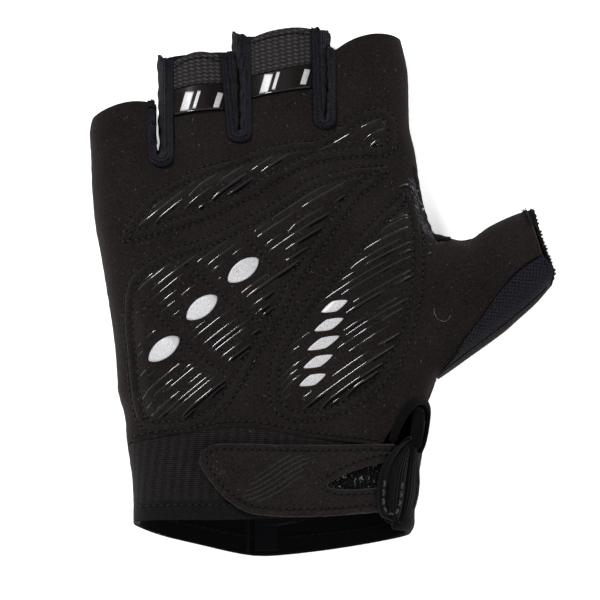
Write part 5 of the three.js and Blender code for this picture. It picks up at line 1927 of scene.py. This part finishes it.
# The back's cuff and hem take the darkened jersey: painted shade inside the cuff
back_cuff = dress(cuff_back(), shaded_cuff_jersey, ["cuff_back"])
back_binding = dress(back_hem_binding(), shaded_cuff_jersey, ["cuff_hem_back"])
dress(slit_binding(), bound, ["slit_binding"])
flap = dress(closure_flap(), flap_rib, ["closure_flap"])
loop_patch = dress(loop_base(), loops_cloth, ["loop_patch"])
strap = dress(closure_strap(), strap_cloth, ["closure_strap"])
dress(inner_tape(), tape_cloth, ["inner_tape"])

# Stitches round the pads and along their grooves
on_pads = Carrier(palm, *pad_pieces.values())
seams = []
for node in pad_pieces:
    border = pad_border(node, 0.6)
    closed = np.concatenate([border, border[:1]])
    seams += stitches(inset_path(closed, -0.35), on_pads, wobble=0.12)
    seams += stitches(inset_path(closed, PAD_INNER_ROW), on_pads, wobble=0.12)
for path in groove_paths:
    seams += stitches(path, on_pads, wobble=0.08)
dress(tubes("pad_stitches", seams, PAD_STITCH), black_thread)
# Dark beads at the stitch ends: painted shade in the needle holes
dress(tubes("pad_needle_hole_shade", needle_hole_shade(seams), PAD_HOLE_SHADE), shade_and_seam_black)

# Ridges, each with a painted shadow: a dark tube along its lower side
ridges = []
for node in pad_pieces:
    ridges += silicone_ridges(node, on_pads)
dress(tubes("silicone_ridges", ridges, RIDGE, 5), silicone)
ridge_shadow_paths = [(np.asarray(points) + [0.32, -0.42, -0.42], np.asarray(shares)) for points, shares in ridges]
dress(tubes("silicone_ridge_painted_shadows", ridge_shadow_paths, RIDGE_SHADOW, 3), shade_and_seam_black)


# Prints on the pads and on the finger bands
def silver_mark(name, outline, centre, carrier, **look):
    shape = print_shape(name, outline, centre, carrier, **look)
    if shape:
        dress(shape, silver)


def across_finger(k, marks, shift, shares):
    """Places on a line across the ring or middle finger, shifted along the hand."""
    line = [along_hand(at) + shift for at in marks]
    left, right = palm_slit(k - 1, line[0])[1], palm_slit(k, line[2])[0]
    return mix(left, right, shares), line3(line, shares)


for i, mark in enumerate(leaf_marks):
    silver_mark(f"leaf_print_{i + 1}", leaf_outline(*mark), mark[:2], on_pads)
for i, mark in enumerate(lozenge_marks):
    silver_mark(f"lozenge_print_{i + 1}", lozenge_outline(*mark), mark[:2], on_pads)

# Slanted bars printed on the finger bands, and the rim along each band's lower edge
band_bars = {
    "ring": ((-41.9, 57.0, 6.0, 2.6, 1.7), (-38.9, 57.4, 5.6, 1.0, 1.6), (-32.3, 57.6, 5.0, 1.7, 1.4)),
    "middle": ((-17.6, 62.6, 6.0, 2.6, 1.7), (-14.6, 63.4, 5.6, 1.0, 1.6), (-5.6, 65.0, 5.0, 1.7, 1.4)),
}
for finger, bars in band_bars.items():
    carrier = Carrier(bands[finger])
    for i, bar in enumerate(bars):
        silver_mark(f"{finger}_bar_{i + 1}", slanted_bar(*bar), bar[:2], carrier,
                    lift=0.06, wall=0.1, rings=5)
    x, y = across_finger(FINGERS.index(finger), band_start[finger], 0.45, np.linspace(0.02, 0.98, 40))
    dress(piping(f"{finger}_band_rim", top_point(x, y, BAND_PROUD + 0.2), 0.34, 0.3, 10), silicone)

# Rows of stitches on the mesh, the seams of the palm, the cuff and the strap
plain_rows, row_hole_shade = [], []


def sew_row(path, carrier, pitch=2.0, inset=0.0, **look):
    path = np.asarray(path, float)
    found = stitches(inset_path(path, inset) if inset else path, carrier, pitch, **look)
    plain_rows.extend(found)
    row_hole_shade.extend(needle_hole_shade(found))


for k, finger in ((1, "ring"), (2, "middle")):
    row = across_finger(k, finger_tip[finger], -2.0, np.linspace(0.05, 0.95, 40))
    sew_row(np.stack(row, -1), Carrier(meshes[finger]), 1.8)

across = np.linspace(0.02, 0.98, 90)
seam_x = mix(across_hand(seam_left), across_hand(keyhole["x"][0]), across)
seam_y = along_hand(wrist_seam(across))
on_cuff = Carrier(palm, knit_cuff, palm_binding)
wrist_fold = top_point(seam_x, seam_y - 0.1, 0.05) + [0, 0, 0.05]
dress(piping("wrist_seam_fold", wrist_fold, 0.42, 0.42, 8), side_suede)
sew_row(np.stack([seam_x, seam_y + 1.3], -1), on_cuff, 2.2)
hem_y = along_hand(palm_hem_top(across))
hem_right = np.minimum(across_hand(cuff_edge_x(hand_at(hem_y))), hand_right(hem_y))
hem_x = mix(hand_left(hem_y), hem_right, across)
sew_row(np.stack([hem_x, hem_y - 1.35], -1), on_cuff, 2.1)



# The strap's rows of stitches and its cut edges
def strap_path(along, side):
    return np.stack([strap_tip_x + along, strap_tip_y + side], -1)


on_strap = Carrier(strap)
s = np.concatenate([np.linspace(0, 0.1, 30)[:-1] ** 1.4 * 2.512, np.linspace(0.1, 0.985, 120)])
upper = strap_path(s * STRAP_LENGTH, strap_upper(s) * STRAP_WIDTH)
lower = strap_path(s * STRAP_LENGTH, strap_lower(s) * STRAP_WIDTH)
strap_edge = relax(even_steps(np.concatenate([lower[::-1], upper]), 0.5), 8)
along = np.linspace(notch_outline["along"][0] + 0.1, 56.8, 50)
roof_edge = strap_path(along, notch_roof(along))
floor_edge = strap_path(along, notch_floor(along))
sew_row(strap_edge, on_strap, 2.1, -1.6, wobble=0.06)
sew_row(roof_edge[::-1], on_strap, 2.1, -1.5)
sew_row(floor_edge, on_strap, 2.1, -1.5)
edge_lift = STRAP_LIFT + STRAP_WALL * 0.62
for name, edge in (("strap_edge", strap_edge), ("notch_roof_edge", roof_edge),
                   ("notch_floor_edge", floor_edge)):
    even = even_steps(edge, 0.4)
    rough = 0.42 + 0.1 * waves(even[:, 0], even[:, 1], 0.9, 1.7)
    dress(piping(name, raise_path(even, edge_lift - 0.2), rough, 0.62, 10), strap_cut)
edge_fuzz = fuzz(420, on_path(strap_edge, 0.25), on_strap, 0.8, 0, 0.9)
edge_fuzz += fuzz(160, on_path(np.concatenate([roof_edge, floor_edge]), 0.25), on_strap, 0.8, 0, 0.9)
dress(tubes("strap_edge_fuzz", edge_fuzz, EDGE_FIBRE, 1), strap_cut)

# Raised wavy lines pressed into the strap, a lighter grey than it: painted sheen
pressed = []
for k in range(6):
    along = np.linspace(9 + 1.3 * k, 31 + 0.9 * k, 70)
    side = -6.4 + 0.46 * (along - 8) + 1.55 * (k - 2.5) + 0.9 * np.sin(along / 4.2 + 0.25 * k)
    s = along / STRAP_LENGTH
    free = (strap_upper(s) * STRAP_WIDTH - side > 2.6) & (side - strap_lower(s) * STRAP_WIDTH > 2.6)
    run = laid_on(on_strap, strap_path(along, side)[free], -0.12)
    if len(run) > 3:
        fade = np.clip(np.minimum(np.arange(len(run)), np.arange(len(run))[::-1]) / 4, 0.2, 1)
        pressed.append((run, fade))
dress(tubes("strap_pressed_lines", pressed, PRESSED_LINE), pressed_sheen_cloth)

# Loops in the notch; the first few are near white, as painted glints
on_loops = Carrier(loop_patch)
loops = []
while len(loops) < LOOP_COUNT:
    place = chance.uniform(38.0, 57.0)
    side = chance.uniform(float(notch_floor(place)) - 0.5, float(notch_roof(place)) + 0.5)
    base = on_loops.drop(strap_tip_x + place, strap_tip_y + side, 0.1)
    if base is not None:
        size, turn, tilt = chance.uniform(0.3, 0.55), chance.uniform(0, 6.28), chance.uniform(-0.6, 0.6)
        loops.append(curl(base, size, turn, tilt))
dress(tubes("tape_loops", loops[GLINT_LOOPS:], LOOP_THREAD, 1), loop_thread)
# The near-white loops are painted glints
dress(tubes("glinting_loops", loops[:GLINT_LOOPS], GLINT_THREAD, 1), glint_loop_thread)

# The flap's two joined columns of large stitches
on_flap = Carrier(flap)
down = np.linspace(0.125, 0.068, 20)
turn = np.linspace(math.pi, 2 * math.pi, 12)
column_u = np.concatenate([0.25 + 0 * down, 0.48 + 0.23 * np.cos(turn), 0.71 + 0 * down])
column_at = np.concatenate([down, 0.066 + 0.006 * np.sin(turn), down[::-1]])
flap_x, flap_y = flap_place(column_at, column_u)
flap_stitches = stitches(np.stack([flap_x, flap_y], -1), on_flap, 2.7, 0.8, 0.1, 0.4, 0.12)
dress(tubes("flap_stitches", flap_stitches, FLAP_STITCH), flap_thread)
# Dark beads at the flap's stitch ends: painted shade in the needle holes
dress(tubes("flap_hole_shade", needle_hole_shade(flap_stitches), FLAP_HOLE_SHADE), shade_and_seam_black)

# Inside the cuff: the hem's row of stitches and the middle seam
on_lining = Carrier(back_cuff, back_binding)
around = np.linspace(0.06, 0.93, 90)
lining_y = along_hand(back_hem_top(around)) + 0.7
lining_x = mix(hand_left(lining_y), hand_right(lining_y), around)
lining_row = stitches(np.stack([lining_x, lining_y], -1), on_lining, 2.2, rise=0.25)
# The lining's stitches are darkened for the shade inside the cuff: painted shade
dress(tubes("lining_stitches", lining_row, LINING_STITCH), shaded_lining_thread)
# Dark beads at the lining's stitch ends: painted shade in the needle holes
dress(tubes("lining_hole_shade", needle_hole_shade(lining_row), LINING_HOLE_SHADE), shade_and_seam_black)
down_y = np.linspace(-60, along_hand(float(back_hem_bottom(0.42))) + 0.4, 30)
lining_seam = [on_lining.drop(-23.2, y, 0.1) for y in down_y]
lining_seam = [point for point in lining_seam if point is not None]
dress(piping("lining_seam", lining_seam, 0.5, 0.3, 8), tape_cloth)

# Seams of the thumb's mesh
on_thumb = Carrier(palm, thumb_panel, thumb_under)
a = np.linspace(0.02, THUMB_PALM_END - 0.01, 70)
for name, shares in (("thumb_suede_seam", mesh_top(a) + 0.004), ("thumb_back_seam", back_top(a) + 0.004)):
    points = [on_thumb.drop(x, y, 0.02) for x, y in zip(*on_thumb_at(a, shares))]
    dress(piping(name, [p for p in points if p is not None], 0.22, 0.2, 6), shade_and_seam_black)


# Side seams, where the palm's suede meets the back
def side_seam(name, xs, ys):
    points = np.stack([xs, ys, np.full_like(ys, SEAM_HEIGHT)], -1)
    path = even_steps(points, 0.5)
    rough = 0.42 + 0.08 * waves(path[:, 0], path[:, 1], 1.1, 0.6)
    return dress(piping(name, path, rough, 0.5, 8), jersey)


left_y = np.linspace(along_hand(0.056), along_hand(finger_tip["little"][0]) - 0.3, 120)
side_seam("outer_side_seam", hand_left(left_y) + 0.35, left_y)
right_y = np.linspace(thumb_high[1], along_hand(finger_tip["index"][2]) - 0.3, 90)
side_seam("index_side_seam", hand_right(right_y) - 0.35, right_y)
_, upper = thumb_edges(np.linspace(0, THUMB_PALM_END, 70))
side_seam("thumb_upper_seam", upper[0], upper[1] - 0.35)

# The thumb's raw opening and the gussets' cut ends
edge_x, edge_y = on_thumb_at(np.array([THUMB_PALM_END]), np.linspace(0.37, 0.99, 60))
raw_edge = palm_point(edge_x - 0.15, edge_y) + [0, 0, -0.55]
dress(piping("thumb_raw_edge", raw_edge, 0.3, 0.62, 8), strap_cut)
on_all = Carrier(palm, thumb_panel, *gussets, *meshes.values())
raw_ends = np.stack([edge_x[-22:] - 0.5, edge_y[-22:] - 0.3], -1)
tufts = fuzz(130, on_path(raw_ends, 0.45), on_all, 1.7, 0, 0.8)
for k in range(3):
    x, y = slit_path(palm_side, k, 64)
    away = leftwards(x, y) * 1.8
    for i in (1, 2, -3, -2):
        spot = np.array([[x[i] + away[i, 0], y[i] + away[i, 1]]])
        tufts += fuzz(16, on_path(spot, 0.9), on_all, 1.3, 0, 0.5)
dress(tubes("cut_end_fibres", tufts, CUT_FIBRE, 1), lycra)

# The ragged end of the thumb's back: a soft roll and its rough cut
share = np.linspace(0.03, 0.97, 70)
edge_x, edge_y = on_thumb_at(back_end(share), share)
rough = 0.7 + 0.22 * waves(edge_x, edge_y, 0.8, 2.2)
back_edge = back_point(edge_x - 0.75, edge_y) + [0, 0, 3.2]
dress(piping("thumb_back_raw_edge", back_edge, rough, 1.6, 10), side_suede)
ragged = rough + 0.25 * np.sin(np.arange(70) * 1.7) + 0.15 * np.sin(np.arange(70) * 4.1)
lining_edge = back_point(edge_x - 0.55, edge_y + 0.1) + [0, 0, 4.4]
dress(piping("thumb_back_cut_edge", lining_edge, ragged, 0.7, 10), thumb_cut)

# Where the palm is turned over the crotch of the thumb: short thick grip marks and a rough sewn edge
crotch = []
for x0, y0, length, rise in ((20.2, 18.4, 5.2, 0.42), (22.6, 29.6, 3.2, 0.45), (26.6, 30.4, 0.9, -1.6),
                             (28.6, 29.4, 0.8, 1.2), (27.4, 27.4, 0.9, -1.2), (29.2, 26.0, 0.8, -1.5),
                             (27.6, 24.4, 0.9, -1.4), (30.0, 23.4, 0.8, 1.3), (31.4, 8.4, 1.2, 0.9)):
    steps = np.linspace(0, 1, 8)
    run = laid_on(on_pads, [(x0 + length * v, y0 + length * rise * v) for v in steps], -0.05)
    if run:
        crotch.append((run, (0.6, 0.9, 1, 1, 1, 1, 0.9, 0.6)))
dress(tubes("crotch_grip_marks", crotch, CROTCH_MARK, 4), silicone)
corner_y = np.linspace(38, thumb_high[1], 60)
_, upper = thumb_edges(np.linspace(0, 0.13, 30))
corner = np.concatenate([np.stack([hand_right(corner_y), corner_y], -1)[:-1], np.stack(upper, -1)])
corner = relax(even_steps(corner, 0.5), 10)
inner = inset_path(corner, -1.3)
rough = 0.9 + 0.3 * waves(corner[:, 0], corner[:, 1], 1.2, 3.0)
fold = np.column_stack([inner, np.full(len(inner), SEAM_HEIGHT + 3.4)])
dress(piping("crotch_fold", fold, rough * 1.25, 3.6, 16), suede)
on_crotch = Carrier(palm, *pad_pieces.values())
rough_edge = []
for _ in range(150):
    i = chance.randrange(10, 52)
    x, y = inset_path(corner, -chance.uniform(0.2, 3.4))[i]
    run = laid_on(on_crotch, [(x + 0.55 * v, y - 0.75 * v) for v in (-0.8, 0, 0.8)], 0.05)
    if run:
        rough_edge.append((run, (0.6, 1, 0.6)))
dress(tubes("crotch_oversewing", rough_edge, OVERSEWING, 1), rough_thread)

# A fold of suede at the cuff's side, beside the ribbed flap
side_fold = np.array([(27.0, -51.5, 16.5), (27.5, -54.0, 15.5), (27.8, -57.0, 14.0), (27.9, -60.0, 13.0),
                      (27.6, -63.5, 12.5), (26.9, -66.5, 12.5), (26.2, -68.5, 12.5)])
t = np.linspace(0, 6, 7)
fine = np.linspace(0, 6, 50)
side_fold = np.stack([np.interp(fine, t, side_fold[:, i]) for i in range(3)], -1)
dress(piping("cuff_side_fold", side_fold, 1.35, 2.4, 12), side_suede)


# Lint on the palm, its pads and the top of the cuff, and one hair by the thumb
def over_the_palm():
    y = chance.uniform(-48, 72)
    return chance.uniform(float(hand_left(y)) + 2, float(hand_right(y)) - 1), y


on_everything = Carrier(palm, *pad_pieces.values(), strap, knit_cuff)
specks = fuzz(170, over_the_palm, on_everything, 0.75, 0.05, 1.0)
dress(tubes("lint", specks, LINT_FIBRE, 1), lint_thread)
hair_places = ((33.5, -8.0), (33.6, -9.6), (34.2, -11.0), (35.4, -12.0), (36.8, -12.2), (38.0, -11.4),
               (38.5, -10.2))
hair = laid_on(on_everything, hair_places, 0.1)
dress(tubes("stray_hair", [(hair, (0.8, 1, 1, 1, 1, 1, 0.8))], CUT_FIBRE, 1), lint_thread)

# All the plain rows of stitches, gathered in two pieces
dress(tubes("row_stitches", plain_rows, ROW_STITCH), row_thread)
# Dark beads at the rows' stitch ends: painted shade in the needle holes
dress(tubes("row_needle_hole_shade", row_hole_shade, ROW_HOLE_SHADE), shade_and_seam_black)


# Stage
CAMERA_TARGET = (-0.0072, -0.0037, 0.012)
CAMERA_DISTANCE = 1.53
CAMERA_ELEVATION = math.radians(80)


def floor_and_light():
    bpy.ops.object.select_all(action="DESELECT")
    bpy.ops.mesh.primitive_plane_add(size=6, location=(0, 0, -0.0002))
    floor = bpy.context.object
    floor.name = "pale_floor"
    paper, tree, shader = new_material(
        "pale backlit paper", 0.9, Specular_IOR_Level=0.1, Emission_Color=(1, 1, 1, 1), Emission_Strength=0.5)
    place = tree.nodes.new("ShaderNodeTexCoord")
    grain = noise_of(tree, place.outputs["Object"], 40, 3, 0.6)
    tree.links.new(blend_of(tree, grain, (0.86, 0.86, 0.86), (0.88, 0.88, 0.88)), shader.inputs["Base Color"])
    floor.data.materials.append(paper)

    world = bpy.data.worlds.new("studio")
    bpy.context.scene.world = world
    world.use_nodes = True
    sky = world.node_tree.nodes["Background"]
    sky.inputs["Color"].default_value = (1, 1, 1, 1)
    sky.inputs["Strength"].default_value = 0.33
    # Each lamp's place and size in metres, and its power; gloss shows the key alone, as one highlight
    lamps = (
        ("key", (-0.55, 0.6, 0.95), 0.42, 15.0),
        ("fill", (0.8, -0.5, 0.9), 0.8, 7.5),
        ("top", (0.1, -0.9, 1.1), 0.8, 5.0),
    )
    for name, place, size, power in lamps:
        light = bpy.data.lights.new(name, "AREA")
        light.shape = "DISK"
        light.size = size
        light.energy = power
        lamp = bpy.data.objects.new(name, light)
        lamp.location = place
        lamp.rotation_euler = (Vector(CAMERA_TARGET) - Vector(place)).to_track_quat("-Z", "Y").to_euler()
        lamp.visible_glossy = name == "key"
        bpy.context.scene.collection.objects.link(lamp)


def place_camera():
    lens = bpy.data.cameras.new("camera")
    lens.lens = 300
    lens.sensor_width = 36
    lens.clip_end = 20
    camera = bpy.data.objects.new("camera", lens)
    back_off = Vector((0, -math.cos(CAMERA_ELEVATION), math.sin(CAMERA_ELEVATION))) * CAMERA_DISTANCE
    camera.location = Vector(CAMERA_TARGET) + back_off
    camera.rotation_euler = (-back_off).to_track_quat("-Z", "Y").to_euler()
    bpy.context.scene.collection.objects.link(camera)
    bpy.context.scene.camera = camera


floor_and_light()
place_camera()
bpy.context.scene.view_settings.view_transform = "Standard"
